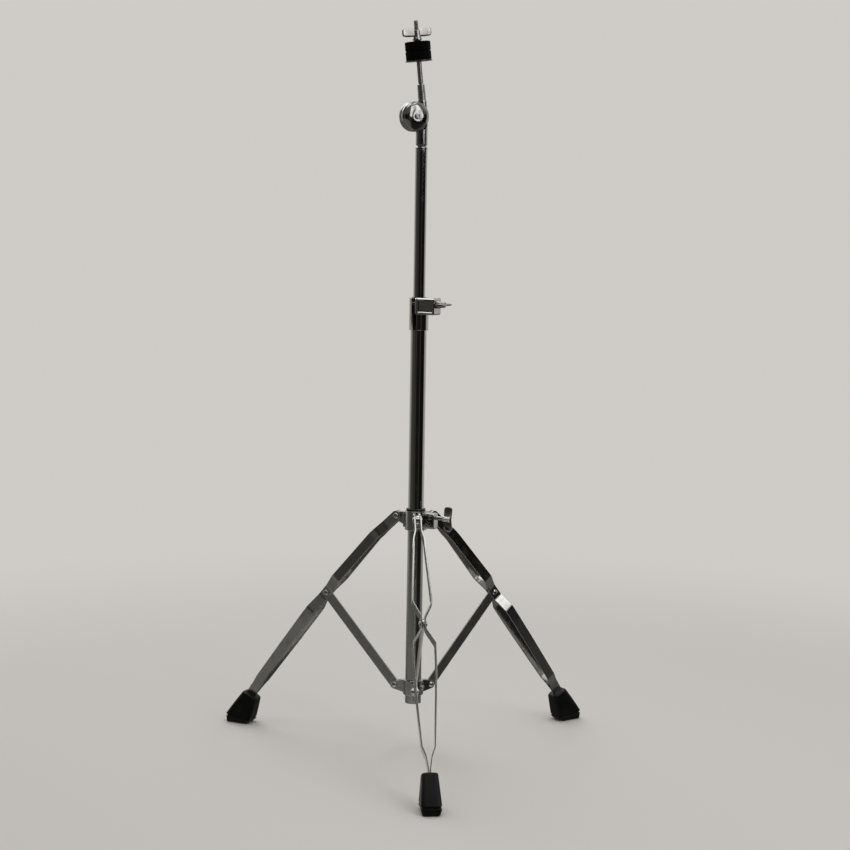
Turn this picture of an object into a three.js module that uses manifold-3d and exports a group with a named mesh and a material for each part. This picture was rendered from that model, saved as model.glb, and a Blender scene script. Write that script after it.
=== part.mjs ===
// Straight cymbal stand: a tripod base with two-strip legs, a telescoping column,
// a side-mounted tilter and a felt-lined cymbal seat.
// Millimetres, +Z up, floor at z = 0, front leg along -Y.

import * as THREE from 'three';
import { mergeVertices } from 'three/addons/utils/BufferGeometryUtils.js';
import Module from 'manifold-3d';

const wasm = await Module();
wasm.setup();

// Driving dimensions

const gap = 0.3; // clearance where one piece seats on, or turns in, another
const turningGap = 0.45; // clearance at the leg pivots
const overrun = 3; // how far a cut passes the face that it opens

const segments = 32; // facets round a large turned piece
const fineSegments = 16; // facets round a hub or a bolt
const rivetSegments = 10;
const curveSteps = 3; // half the facets of a rounded end or a hole

const baseTube = {
  outerRadius: 12.7,
  wall: 1.2,
  bottom: 74,
  length: 646,
  slotWidth: 2.6,
  slotLength: 38
};

const upperTube = {
  outerRadius: 9.525,
  wall: 1.2,
  length: 560,
  shown: 229 // length that stands above the height clamp
};

const heightClamp = {
  yaw: -32, // azimuth of the bolt, degrees
  height: 51.3,
  rise: 4.9, // above the end of the base tube
  wall: 2.4,
  cheekWidth: 6,
  cheekFoot: 4.4, // cheek width at the lower end
  splitLeft: -0.1, // split's left face from the column's axis
  splitWidth: 3.4,
  reach: 24.8, // front face from the column's axis
  footReach: 20.5, // cheek's front edge at the lower end
  blockLength: 35.5,
  blockHeight: 26,
  blockDepth: 24.6,
  boltDrop: 9.8, // bolt below the top
  edge: 1.4,
  plaqueWidth: 27,
  plaqueHeight: 20,
  plaqueDepth: 1,
  plaqueCorner: 1.5,
  plaqueMargin: 2.2 // from the plaque to the block's outer end
};

const clampBushing = {
  length: 40,
  lipHeight: 2,
  splitWidth: 2
};

const heightBolt = {
  shaftRadius: 3,
  inset: 2, // shaft's end from the cheek's outer face
  collarRadius: 6,
  hubRadius: 5,
  hubLength: 18,
  reach: 17.5,
  wingHeight: 14,
  wingThickness: 4
};

const fold = {
  pivotRadius: 32.5,
  upperPivot: 376,
  lowerPivot: 100,
  braceRadius: 158.5 // middle pivot from the column's axis
};

const strip = {
  width: 16,
  thickness: 2.2,
  shoulder: 54, // distance of the shoulder bend from the collar pivot, along the leg
  bow: 4.2 // how far the shoulder stands outside the line between the pivots
};

// Half the outside spacing of the two strips, at distances from the middle pivot, from the collar
// pivot (shoulder, lug, flare) and up from the foot (ankle, closing, tip).
const upperBends = {
  pinchEnd: 11, pinch: 4.3,
  bulgeStart: 35, bulge: 15.7,
  shoulder: 9.8,
  lugEnd: 25, lug: 5.9,
  flareEnd: 42
};
const lowerBends = {
  pinchEnd: 10,
  flareStart: 34, flare: 18.3,
  bellyStart: 62, belly: 18,
  calfStart: 115, calf: 15.9,
  ankleUp: 40.3, ankle: 11,
  closingUp: 26.3, closing: 5.6,
  tipUp: 6.3, tip: 2.5
};

const foot = {
  entryRadius: 302, // where the leg's centre line meets the foot's top
  entryHeight: 49,
  socketDepth: 22,
  soleInner: 0, // distances outward from where the leg enters
  soleOuter: 41,
  sideInner: -5.5,
  sideOuter: 40.5,
  sideHeight: 12.5,
  sideLean: 0.1, // rise of the outer end over the inner one, for each millimetre outward
  topInner: -15,
  topOuter: 11,
  topHeight: 48,
  topLean: 0.44,
  soleWidth: 26.5,
  sideWidth: 31,
  topWidth: 24.2,
  corner: 6,
  crown: 2.5, // height of the rounded rim
  grooveHeight: 8,
  grooveDepth: 1.1
};

const brace = {
  width: 16,
  thickness: 3
};

const rivet = {
  radius: 2.5,
  headRadius: 4.7,
  headHeight: 2.3
};

const upperCollar = {
  above: 10.5, // top face above the leg pivots
  below: 20,
  wall: 2.8,
  chamfer: 0.9,
  lugRadius: 7.4,
  padWidth: 13,
  padReach: 20,
  padDrop: 3,
  bossAzimuth: -30,
  bossReach: 35.2,
  bossWidth: 17,
  bossHeight: 25,
  bossCorner: 4,
  bossEdge: 1.2,
  bossDrop: 2,
  boltRise: 5 // bolt above the middle of the boss
};

const collarBushing = {
  wall: 1.3,
  flangeRadius: 15.4,
  flangeHeight: 3
};

const collarBolt = {
  shaftRadius: 3,
  stand: 12.5, // bare shaft between the boss and the wings
  hubRadius: 4.9,
  hubLength: 15,
  reach: 19.5,
  wingHeight: 13.5,
  wingThickness: 4
};

const lowerCollar = {
  above: 12,
  below: 12,
  wall: 3.2,
  chamfer: 0.8,
  earThickness: 2.6,
  earRadius: 7,
  padReach: 20.5,
  screwAzimuth: -30,
  screwRadius: 2.2,
  screwHeadRadius: 3.8,
  screwHeadHeight: 2.2,
  screwRecess: 2.4 // hex socket across corners
};

const tilter = {
  yaw: -67, // azimuth of the pivot axis, degrees
  pivotRise: 50.5, // pivot above the end of the upper tube
  offset: 13.8, // pivot axis from the column's axis
  radius: 23.3,
  halfThickness: 13,
  faceRadius: 7,
  washerThickness: 1.2,
  washerRadius: 17,
  stemRadius: 9.2,
  spigotLength: 20,
  grooveDepth: 1,
  grooveHeight: 3,
  boltRadius: 4,
  boltHeadRadius: 4.8,
  boltHeadHeight: 2.6,
  rest: 6.3 // lean of the cymbal rod, degrees
};

const tilterNut = {
  hubRadius: 6.4,
  hubLength: 14,
  reach: 19,
  wingHeight: 10.5,
  wingThickness: 4
};

const rod = {
  bossRadius: 6.8,
  offset: 16.4, // rod's axis from the tilter's pivot axis
  bossTop: 25, // stations along the rod, above the pivot
  thickFootRadius: 6.2,
  thickRadius: 5.7,
  thickTop: 47.5,
  radius: 4,
  seat: 83,
  threadRadius: 3.5,
  tip: 145.3,
  spigotLength: 4.5,
  spigotRadius: 4.2,
  chamfer: 1.2
};

const seatWasher = { radius: 20.8, thickness: 1.6 };
const felt = { radius: 19.8, thickness: 13.9, edge: 1.2 };
const sleeve = { wall: 1.8, proud: 1.6 };
const topNut = {
  footRadius: 7.4,
  hubRadius: 6,
  hubLength: 18,
  reach: 24.5,
  wingHeight: 13,
  wingThickness: 4.4
};
const topNutTurn = -4; // degrees that the wings stand off the tilter's face

const legAzimuths = [-90, 30, 150];

// Places worked out from the dimensions

const deg = Math.PI / 180;
const middlePivot = (fold.upperPivot + fold.lowerPivot) / 2;
const legRun = fold.braceRadius - fold.pivotRadius;
const legRise = fold.upperPivot - middlePivot;
const linkLength = Math.hypot(legRun, legRise); // brace, and leg above the brace
const footRun = foot.entryRadius - fold.braceRadius;
const footDrop = middlePivot - foot.entryHeight;
const shankLength = Math.hypot(footRun, footDrop);
const upperAngle = Math.atan2(legRise, -legRun); // from the middle pivot to the collar
const lowerAngle = Math.atan2(-footDrop, footRun); // from the middle pivot to the foot
const braceAngle = Math.atan2(legRise, legRun); // from the lower pivot to the middle one

const baseTop = baseTube.bottom + baseTube.length;
const clampTop = baseTop + heightClamp.rise;
const clampBottom = clampTop - heightClamp.height;
const upperTop = clampTop + upperTube.shown;
const pivotHeight = upperTop + tilter.pivotRise;
const seamHalf = tilter.washerThickness / 2 + gap; // half the space between the domes

// Solids

// A closed three.js geometry as a solid: shared corners merged, faces turned outward.
function solid(geometry) {
  const bare = geometry.clone();
  bare.deleteAttribute('normal');
  bare.deleteAttribute('uv');
  const merged = mergeVertices(bare, 1e-4);
  const corners = merged.attributes.position.array;
  const index = merged.index.array;
  const kept = [];
  for (let i = 0; i < index.length; i += 3) {
    const [a, b, c] = [index[i], index[i + 1], index[i + 2]];
    if (a !== b && b !== c && c !== a) kept.push(a, b, c);
  }
  const at = (i) => new THREE.Vector3().fromArray(corners, 3 * i);
  let volume = 0;
  for (let i = 0; i < kept.length; i += 3) {
    volume += at(kept[i]).dot(at(kept[i + 1]).cross(at(kept[i + 2])));
  }
  if (volume < 0) kept.reverse();
  const mesh = new wasm.Mesh({
    numProp: 3,
    vertProperties: Float32Array.from(corners),
    triVerts: Uint32Array.from(kept)
  });
  return new wasm.Manifold(mesh);
}

function geometryOf(manifold) {
  const mesh = manifold.getMesh();
  const geometry = new THREE.BufferGeometry();
  geometry.setAttribute('position', new THREE.BufferAttribute(Float32Array.from(mesh.vertProperties), 3));
  geometry.setIndex(Array.from(mesh.triVerts));
  geometry.computeVertexNormals();
  return geometry;
}

// A turned solid about Z from [radius, height] pairs.
function turned(profile, facets = segments) {
  const points = profile.map(([r, z]) => new THREE.Vector2(r, z));
  const first = points[0];
  const last = points[points.length - 1];
  if (first.x > 0 || last.x > 0) points.push(first.clone());
  return new THREE.LatheGeometry(points, facets).rotateX(Math.PI / 2);
}

function tubeSolid(inner, outer, low, high, facets = segments) {
  return turned([[inner, low], [outer, low], [outer, high], [inner, high]], facets);
}

function rodSolid(radius, low, high, facets = fineSegments) {
  return turned([[0, low], [radius, low], [radius, high], [0, high]], facets);
}

// A turned sleeve with both outer edges chamfered.
function chamferedSleeve(inner, outer, low, high, chamfer) {
  return turned([
    [inner, low], [outer - chamfer, low], [outer, low + chamfer],
    [outer, high - chamfer], [outer - chamfer, high], [inner, high]
  ]);
}

// An outline in X and Z, given a thickness along Y and centred on it.
function plate(shape, thickness, options = {}) {
  const geometry = new THREE.ExtrudeGeometry(shape, {
    depth: thickness, bevelEnabled: false, curveSegments: curveSteps, ...options
  });
  return geometry.rotateX(Math.PI / 2).translate(0, thickness / 2, 0);
}

function block(x0, x1, y0, y1, z0, z1) {
  const geometry = new THREE.BoxGeometry(x1 - x0, y1 - y0, z1 - z0);
  return geometry.translate((x0 + x1) / 2, (y0 + y1) / 2, (z0 + z1) / 2);
}

function roundedRectangle(width, height, corner) {
  const shape = new THREE.Shape();
  const x = width / 2;
  const y = height / 2;
  shape.moveTo(-x + corner, -y);
  shape.lineTo(x - corner, -y);
  shape.absarc(x - corner, -y + corner, corner, -Math.PI / 2, 0);
  shape.lineTo(x, y - corner);
  shape.absarc(x - corner, y - corner, corner, 0, Math.PI / 2);
  shape.lineTo(-x + corner, y);
  shape.absarc(-x + corner, y - corner, corner, Math.PI / 2, Math.PI);
  shape.lineTo(-x, -y + corner);
  shape.absarc(-x + corner, -y + corner, corner, Math.PI, Math.PI * 1.5);
  return shape;
}

// A link's outline: straight sides, a round end about each pivot, a hole at each pivot.
function linkShape(length, width, holes) {
  const r = width / 2;
  const shape = new THREE.Shape();
  shape.moveTo(0, -r);
  shape.lineTo(length, -r);
  shape.absarc(length, 0, r, -Math.PI / 2, Math.PI / 2);
  shape.lineTo(0, r);
  shape.absarc(0, 0, r, Math.PI / 2, Math.PI * 1.5);
  for (const [x, radius] of holes) {
    const points = [];
    for (let i = 0; i < rivetSegments; i++) {
      const a = -2 * Math.PI * i / rivetSegments;
      points.push(new THREE.Vector2(x + radius * Math.cos(a), radius * Math.sin(a)));
    }
    shape.holes.push(new THREE.Path(points));
  }
  return shape;
}

// A dome-headed rivet along Y, both heads clear of faces at plus and minus reach.
function rivetAlongY(reach) {
  const head = reach + gap;
  const profile = [[0, -head - rivet.headHeight]];
  for (const a of [0.5].map((share) => share * Math.PI / 2)) {
    profile.push([rivet.headRadius * Math.sin(a), -head - rivet.headHeight * Math.cos(a)]);
  }
  profile.push([rivet.headRadius, -head], [rivet.radius, -head]);
  const mirrored = profile.map(([r, z]) => [r, -z]).reverse();
  return turned([...profile, ...mirrored], rivetSegments).rotateX(-Math.PI / 2);
}

// Two wings on a hub, turning about Z, foot of the hub at z = 0.
function wings({ hubRadius, hubLength, reach, wingHeight, wingThickness, footRadius = hubRadius, bore = 0 }) {
  const base = hubLength - wingHeight;
  const tipDrop = wingHeight / 5;
  const tipRound = wingHeight / 3;
  const shape = new THREE.Shape();
  shape.moveTo(0, base);
  shape.lineTo(hubRadius, base);
  shape.quadraticCurveTo(reach - tipRound, base, reach - tipRound, base + tipDrop);
  shape.quadraticCurveTo(reach, base + tipDrop, reach, base + tipDrop + tipRound);
  shape.quadraticCurveTo(reach, hubLength + tipDrop, reach - tipRound, hubLength + tipDrop);
  shape.quadraticCurveTo(hubRadius, hubLength, hubRadius, hubLength - tipRound);
  shape.lineTo(0, hubLength - tipRound);
  const wing = plate(shape, wingThickness, { curveSegments: 4 });
  const crown = hubLength - wingHeight / 6;
  const waist = hubRadius - wingThickness / 4;
  let hub = solid(turned([[0, 0], [footRadius, 0], [footRadius, base / 2], [hubRadius, base], [waist, crown], [0, crown]],
    fineSegments));
  hub = hub.add(solid(wing)).add(solid(wing.clone().rotateZ(Math.PI)));
  if (bore > 0) hub = hub.subtract(solid(rodSolid(bore, -overrun, hubLength + tipDrop + overrun)));
  return hub;
}

// Materials

const chrome = { color: 0xc9c6c0, roughness: 0.12, metalness: 1 };
const steel = { color: 0xb5b3ae, roughness: 0.2, metalness: 1 };
const nylon = { color: 0x141414, roughness: 0.5, metalness: 0 };
const rubber = { color: 0x0d0d0d, roughness: 0.75, metalness: 0 };
const wool = { color: 0x0a0a0a, roughness: 1, metalness: 0 };

function piece(name, shape, finish) {
  const geometry = shape.isBufferGeometry ? shape : geometryOf(shape);
  const mesh = new THREE.Mesh(geometry, new THREE.MeshStandardMaterial(finish));
  mesh.name = name;
  return mesh;
}

function group(name, parent, { position = [0, 0, 0], rotation = [0, 0, 0] } = {}) {
  const made = new THREE.Group();
  made.name = name;
  made.position.set(...position);
  made.rotation.set(...rotation);
  parent.add(made);
  return made;
}

const stand = new THREE.Group();
stand.name = 'cymbal_stand';

// Column

function makeBaseTube() {
  const inner = baseTube.outerRadius - baseTube.wall;
  const walls = solid(tubeSolid(inner, baseTube.outerRadius, baseTube.bottom, baseTop));
  const slot = block(-baseTube.slotWidth / 2, baseTube.slotWidth / 2, -baseTube.outerRadius - overrun, 0,
    baseTop - baseTube.slotLength, baseTop + overrun);
  return walls.subtract(solid(slot.rotateZ(heightClamp.yaw * deg)));
}

function makeUpperTube() {
  const inner = upperTube.outerRadius - upperTube.wall;
  return solid(tubeSolid(inner, upperTube.outerRadius, upperTop - upperTube.length, upperTop));
}

// Split liner with a lip that rests on the base tube's end.
function makeClampBushing() {
  const inner = upperTube.outerRadius + gap;
  const outer = baseTube.outerRadius - baseTube.wall - gap;
  const lip = baseTop + gap;
  const bottom = baseTop - clampBushing.length;
  const liner = solid(turned([
    [inner, bottom], [outer, bottom], [outer, lip], [baseTube.outerRadius, lip],
    [baseTube.outerRadius, lip + clampBushing.lipHeight], [inner, lip + clampBushing.lipHeight]
  ]));
  const split = block(-clampBushing.splitWidth / 2, clampBushing.splitWidth / 2, 0,
    baseTube.outerRadius + overrun, bottom - overrun, clampTop + overrun);
  return liner.subtract(solid(split));
}

// Height clamp, with the bolt along +X and the front face towards -Y before it is turned.
const boreRadius = baseTube.outerRadius + gap;
const sleeveRadius = boreRadius + heightClamp.wall;
const boltReach = boreRadius + gap + heightBolt.shaftRadius; // bolt from the column's axis
const boltHeight = clampTop - heightClamp.boltDrop;
const splitLeft = heightClamp.splitLeft;
const splitRight = splitLeft + heightClamp.splitWidth;
const blockEnd = splitRight + heightClamp.blockLength;

function makeHeightClamp() {
  const { reach, blockHeight, blockDepth, edge, plaqueWidth, plaqueHeight, plaqueDepth } = heightClamp;
  let body = solid(chamferedSleeve(boreRadius, sleeveRadius, clampBottom, clampTop, edge / 2));

  const cheek = new THREE.Shape();
  cheek.moveTo(0, clampTop);
  cheek.lineTo(-reach, clampTop);
  cheek.lineTo(-reach, clampTop - blockHeight);
  cheek.lineTo(-heightClamp.footReach, clampBottom);
  cheek.lineTo(0, clampBottom);
  const cheekSolid = solid(plate(cheek, heightClamp.cheekWidth).rotateZ(Math.PI / 2)
    .translate(splitLeft - heightClamp.cheekWidth / 2, 0, 0));
  const lean = new THREE.Shape();
  lean.moveTo(splitLeft, clampBottom);
  lean.lineTo(splitLeft - heightClamp.cheekFoot, clampBottom);
  lean.lineTo(splitLeft - heightClamp.cheekWidth, clampTop - blockHeight);
  lean.lineTo(splitLeft - heightClamp.cheekWidth, clampTop);
  lean.lineTo(splitLeft, clampTop);
  body = body.add(cheekSolid.intersect(solid(plate(lean, 2 * (reach + overrun)))));

  const face = roundedRectangle(heightClamp.blockLength, blockHeight - 2 * edge, edge);
  const lug = new THREE.ExtrudeGeometry(face, {
    depth: blockDepth - 2 * edge, bevelThickness: edge, bevelSize: edge, bevelOffset: -edge / 2,
    bevelSegments: 2, curveSegments: 3
  });
  lug.rotateX(Math.PI / 2);
  lug.translate(splitRight + heightClamp.blockLength / 2, -reach + blockDepth - edge,
    clampTop - blockHeight / 2);
  const trimmed = solid(lug).intersect(solid(block(splitRight, blockEnd, -reach, -reach + blockDepth,
    clampTop - blockHeight, clampTop)));
  body = body.add(trimmed);

  const recess = new THREE.ExtrudeGeometry(roundedRectangle(plaqueWidth, plaqueHeight, heightClamp.plaqueCorner), {
    depth: plaqueDepth + overrun, bevelEnabled: false, curveSegments: 3
  });
  recess.rotateX(Math.PI / 2);
  recess.translate(blockEnd - heightClamp.plaqueMargin - plaqueWidth / 2, -reach + plaqueDepth,
    clampTop - blockHeight / 2);
  body = body.subtract(solid(recess));

  body = body.subtract(solid(rodSolid(boreRadius, clampBottom - overrun, clampTop + overrun, segments)));
  body = body.subtract(solid(block(splitLeft, splitRight, -reach - overrun, 0,
    clampBottom - overrun, clampTop + overrun)));
  const hole = rodSolid(heightBolt.shaftRadius + gap, -blockEnd - overrun, blockEnd + overrun);
  hole.rotateY(Math.PI / 2).translate(0, -boltReach, boltHeight);
  return body.subtract(solid(hole));
}

// The bolt runs along +Z here, with z = 0 at the block's outer end.
function makeHeightBolt() {
  const head = wings(heightBolt).translate([0, 0, gap]);
  const cheekFace = splitLeft - heightClamp.cheekWidth;
  const shaftEnd = -(blockEnd - cheekFace - heightBolt.inset);
  const flange = rodSolid(heightBolt.collarRadius, gap, gap + (heightBolt.hubLength - heightBolt.wingHeight / 2) / 2);
  return head.add(solid(rodSolid(heightBolt.shaftRadius, shaftEnd, heightBolt.hubLength / 2))).add(solid(flange));
}

stand.add(piece('base_tube', makeBaseTube(), chrome));
const clampGroup = group('height_clamp_frame', stand, { rotation: [0, 0, heightClamp.yaw * deg] });
clampGroup.add(piece('height_clamp', makeHeightClamp(), chrome));
const heightBoltGroup = group('height_bolt_axis', clampGroup, {
  position: [blockEnd, -boltReach, boltHeight], rotation: [0, Math.PI / 2, 0]
});
const heightBoltMesh = piece('height_wing_bolt', makeHeightBolt(), chrome);
heightBoltMesh.rotation.z = Math.PI / 2;
heightBoltGroup.add(heightBoltMesh);
const bushingMesh = piece('clamp_bushing', makeClampBushing(), nylon);
bushingMesh.rotation.z = heightClamp.yaw * deg;
stand.add(bushingMesh);
stand.add(piece('upper_tube', makeUpperTube(), chrome));

// Leg collars

function bolts(radius, from, to) {
  return rodSolid(radius, from, to).rotateY(Math.PI / 2);
}

// Lug outline in X and Z: full height at the sleeve, round about the pivot.
function lugShape(root, low, high, pivotX, radius) {
  const shape = new THREE.Shape();
  shape.moveTo(root, low);
  shape.lineTo(pivotX, -radius);
  shape.absarc(pivotX, 0, radius, -Math.PI / 2, Math.PI / 2);
  shape.lineTo(root, high);
  return shape;
}

const collarBore = baseTube.outerRadius + gap + collarBushing.wall + gap;
const collarRadius = collarBore + upperCollar.wall;
const stripInner = upperBends.lug - strip.thickness; // half the space between strips at the lug
const lugHalf = stripInner - turningGap;

// The collar's own origin is on the column's axis, level with the leg pivots.
function makeUpperCollar() {
  const { above, below, padDrop, padReach, padWidth } = upperCollar;
  let body = solid(chamferedSleeve(collarBore, collarRadius, -below, above, upperCollar.chamfer));
  const root = collarBore + upperCollar.wall / 2;
  for (const azimuth of legAzimuths) {
    const lug = plate(lugShape(root, -below + padDrop, above - padDrop, fold.pivotRadius, upperCollar.lugRadius),
      2 * lugHalf);
    const pad = block(root, padReach, -padWidth / 2, padWidth / 2, -below + padDrop, above - padDrop);
    body = body.add(solid(lug.rotateZ(azimuth * deg))).add(solid(pad.rotateZ(azimuth * deg)));
    const hole = rodSolid(rivet.radius + gap, -padWidth, padWidth, rivetSegments).rotateX(Math.PI / 2);
    body = body.subtract(solid(hole.translate(fold.pivotRadius, 0, 0).rotateZ(azimuth * deg)));
  }
  const { bossWidth, bossHeight, bossCorner, bossEdge, bossReach } = upperCollar;
  const boss = new THREE.ExtrudeGeometry(
    roundedRectangle(bossWidth - 2 * bossEdge, bossHeight - 2 * bossEdge, bossCorner - bossEdge), {
      depth: bossReach - root - 2 * bossEdge, bevelThickness: bossEdge, bevelSize: bossEdge, bevelSegments: 2,
      curveSegments: 4
    });
  boss.rotateX(Math.PI / 2).rotateZ(Math.PI / 2).translate(root + bossEdge, 0, bossMiddle);
  body = body.add(solid(boss.rotateZ(upperCollar.bossAzimuth * deg)));
  body = body.subtract(solid(rodSolid(collarBore, -below - overrun, above + overrun, segments)));
  const hole = bolts(collarBolt.shaftRadius + gap, collarBore / 2, bossReach + overrun);
  hole.translate(0, 0, boltLevel);
  return body.subtract(solid(hole.rotateZ(upperCollar.bossAzimuth * deg)));
}
const bossMiddle = upperCollar.above - upperCollar.bossDrop - upperCollar.bossHeight / 2;
const boltLevel = bossMiddle + upperCollar.boltRise;

function makeCollarBushing() {
  const inner = baseTube.outerRadius + gap;
  const outer = inner + collarBushing.wall;
  const flange = upperCollar.above + gap;
  return solid(turned([
    [inner, -upperCollar.below], [outer, -upperCollar.below], [outer, flange], [collarBushing.flangeRadius, flange],
    [collarBushing.flangeRadius, flange + collarBushing.flangeHeight], [inner, flange + collarBushing.flangeHeight]
  ]));
}

// Along +Z, with z = 0 at the boss's outer face.
function makeCollarBolt() {
  const head = wings(collarBolt).translate([0, 0, collarBolt.stand]);
  const nearEnd = collarBore - upperCollar.bossReach;
  return head.add(solid(rodSolid(collarBolt.shaftRadius, nearEnd, collarBolt.stand + collarBolt.hubLength / 2)));
}

const earInner = brace.thickness / 2 + turningGap;
const earOuter = earInner + lowerCollar.earThickness;
const lowerBore = baseTube.outerRadius + gap;
const lowerRadius = lowerBore + lowerCollar.wall;

function makeLowerCollar() {
  const { above, below, earRadius } = lowerCollar;
  let body = solid(chamferedSleeve(lowerBore, lowerRadius, -below, above, lowerCollar.chamfer));
  const root = lowerBore + lowerCollar.wall / 2;
  const edge = lowerCollar.chamfer;
  for (const azimuth of legAzimuths) {
    const ear = plate(lugShape(root, -below + edge, above - edge, fold.pivotRadius, earRadius), 2 * earOuter);
    const slot = block(lowerCollar.padReach, fold.pivotRadius + earRadius + overrun, -earInner, earInner,
      -below - overrun, above + overrun);
    let clevis = solid(ear).subtract(solid(slot));
    const hole = rodSolid(rivet.radius + gap, -earOuter - overrun, earOuter + overrun, rivetSegments)
      .rotateX(Math.PI / 2);
    clevis = clevis.subtract(solid(hole.translate(fold.pivotRadius, 0, 0)));
    body = body.add(clevis.rotate([0, 0, azimuth]));
  }
  body = body.subtract(solid(rodSolid(lowerBore, -below - overrun, above + overrun, segments)));
  const hole = bolts(lowerCollar.screwRadius + gap, lowerBore / 2, lowerRadius + overrun);
  return body.subtract(solid(hole.rotateZ(lowerCollar.screwAzimuth * deg)));
}

// Socket-headed screw along +X through the lower collar's wall.
function makeCollarScrew() {
  const { screwRadius, screwHeadRadius, screwHeadHeight, screwRecess } = lowerCollar;
  const seat = lowerRadius + gap;
  const head = seat + screwHeadHeight;
  const edge = screwHeadHeight / 4;
  const screw = solid(turned([
    [0, lowerBore], [screwRadius, lowerBore], [screwRadius, seat], [screwHeadRadius, seat],
    [screwHeadRadius, head - edge], [screwHeadRadius - edge, head], [0, head]
  ], fineSegments));
  const socket = solid(rodSolid(screwRecess, head - screwHeadHeight / 2, head + overrun, 6));
  return geometryOf(screw.subtract(socket)).rotateY(Math.PI / 2);
}

// One rivet at each leg, on a collar.
function addPivotRivets(parent, name, reach) {
  legAzimuths.forEach((azimuth, i) => {
    const mesh = piece(`${name}_${i + 1}`, solid(rivetAlongY(reach).translate(fold.pivotRadius, 0, 0)), steel);
    mesh.rotation.z = azimuth * deg;
    parent.add(mesh);
  });
}

const upperCollarGroup = group('upper_collar_frame', stand, { position: [0, 0, fold.upperPivot] });
upperCollarGroup.add(piece('upper_leg_collar', makeUpperCollar(), chrome));
upperCollarGroup.add(piece('collar_bushing', makeCollarBushing(), nylon));
addPivotRivets(upperCollarGroup, 'leg_rivet', upperBends.lug);
const bossTurn = group('collar_boss_frame', upperCollarGroup, { rotation: [0, 0, upperCollar.bossAzimuth * deg] });
const collarBoltGroup = group('collar_bolt_axis', bossTurn, {
  position: [upperCollar.bossReach, 0, boltLevel], rotation: [0, Math.PI / 2, 0]
});
collarBoltGroup.add(piece('collar_lock_bolt', makeCollarBolt(), chrome));

const lowerCollarGroup = group('lower_collar_frame', stand, { position: [0, 0, fold.lowerPivot] });
lowerCollarGroup.add(piece('lower_brace_collar', makeLowerCollar(), chrome));
addPivotRivets(lowerCollarGroup, 'brace_rivet', earOuter);
const collarScrew = piece('lower_collar_screw', makeCollarScrew(), steel);
collarScrew.rotation.z = lowerCollar.screwAzimuth * deg;
lowerCollarGroup.add(collarScrew);

// Legs: each is two bent strips, joined at the middle pivot, and a rubber foot

// A ribbon of one thickness through [distance, half spacing] stations, cut to the strip's outline.
function bentStrip(stations, side, outline) {
  const shape = new THREE.Shape();
  const outer = stations.map(([x, y]) => [x, side * y]);
  const inner = stations.map(([x, y]) => [x, side * (y - strip.thickness)]).reverse();
  shape.setFromPoints([...outer, ...inner].map(([x, y]) => new THREE.Vector2(x, y)));
  const ribbon = new THREE.ExtrudeGeometry(shape, { depth: 2 * strip.width, bevelEnabled: false });
  ribbon.translate(0, 0, -strip.width);
  return solid(ribbon).intersect(solid(plate(outline, 4 * lowerBends.flare)));
}

// The leg above the middle pivot runs straight to a shoulder bend, then to the collar pivot.
const shoulderAlong = linkLength - strip.shoulder;
const thighLength = Math.hypot(shoulderAlong, strip.bow);
const thighAngle = upperAngle - Math.atan2(strip.bow, shoulderAlong);
const neckLength = Math.hypot(strip.shoulder, strip.bow);
const neckAngle = upperAngle + Math.atan2(strip.bow, strip.shoulder);

function makeStrip(side) {
  const end = strip.width / 2;
  const up = upperBends;
  const low = lowerBends;
  const hole = rivet.radius + gap;
  const thigh = bentStrip([
    [-end, up.pinch], [up.pinchEnd, up.pinch], [up.bulgeStart, up.bulge], [thighLength - end, up.shoulder],
    [thighLength + end, up.shoulder]
  ], side, linkShape(thighLength, strip.width, [[0, hole]]));
  const neck = bentStrip([
    [-end, up.shoulder], [neckLength - up.flareEnd, up.shoulder], [neckLength - up.lugEnd, up.lug],
    [neckLength + end, up.lug]
  ], side, linkShape(neckLength, strip.width, [[neckLength, rivet.radius + turningGap]]));
  const shank = bentStrip([
    [-end, up.pinch], [low.pinchEnd, up.pinch], [low.flareStart, low.flare], [low.bellyStart, low.belly],
    [low.calfStart, low.calf], [shankLength - low.ankleUp, low.ankle],
    [shankLength - low.closingUp, low.closing], [shankLength - low.tipUp, low.tip],
    [shankLength + foot.socketDepth, low.tip]
  ], side, linkShape(shankLength + foot.socketDepth - end, strip.width, [[0, hole]]));
  const shoulder = [thighLength * Math.cos(thighAngle), 0, thighLength * Math.sin(thighAngle)];
  return thigh.rotate([0, -thighAngle / deg, 0])
    .add(neck.rotate([0, -neckAngle / deg, 0]).translate(shoulder))
    .add(shank.rotate([0, -lowerAngle / deg, 0]));
}

// Points round a rounded rectangle, the same number whatever its size.
function ringPoints({ x0, x1, width, z, corner, lean = 0 }) {
  const points = [];
  const steps = 3;
  const middle = (x0 + x1) / 2;
  for (const [quarter, x, y] of [
    [0, x1 - corner, width / 2 - corner], [1, x0 + corner, width / 2 - corner],
    [2, x0 + corner, corner - width / 2], [3, x1 - corner, corner - width / 2]
  ]) {
    for (let i = 0; i <= steps; i++) {
      const a = (quarter + i / steps) * Math.PI / 2;
      const along = x + corner * Math.cos(a);
      points.push([along, y + corner * Math.sin(a), z + lean * (along - middle)]);
    }
  }
  return points;
}

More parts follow.
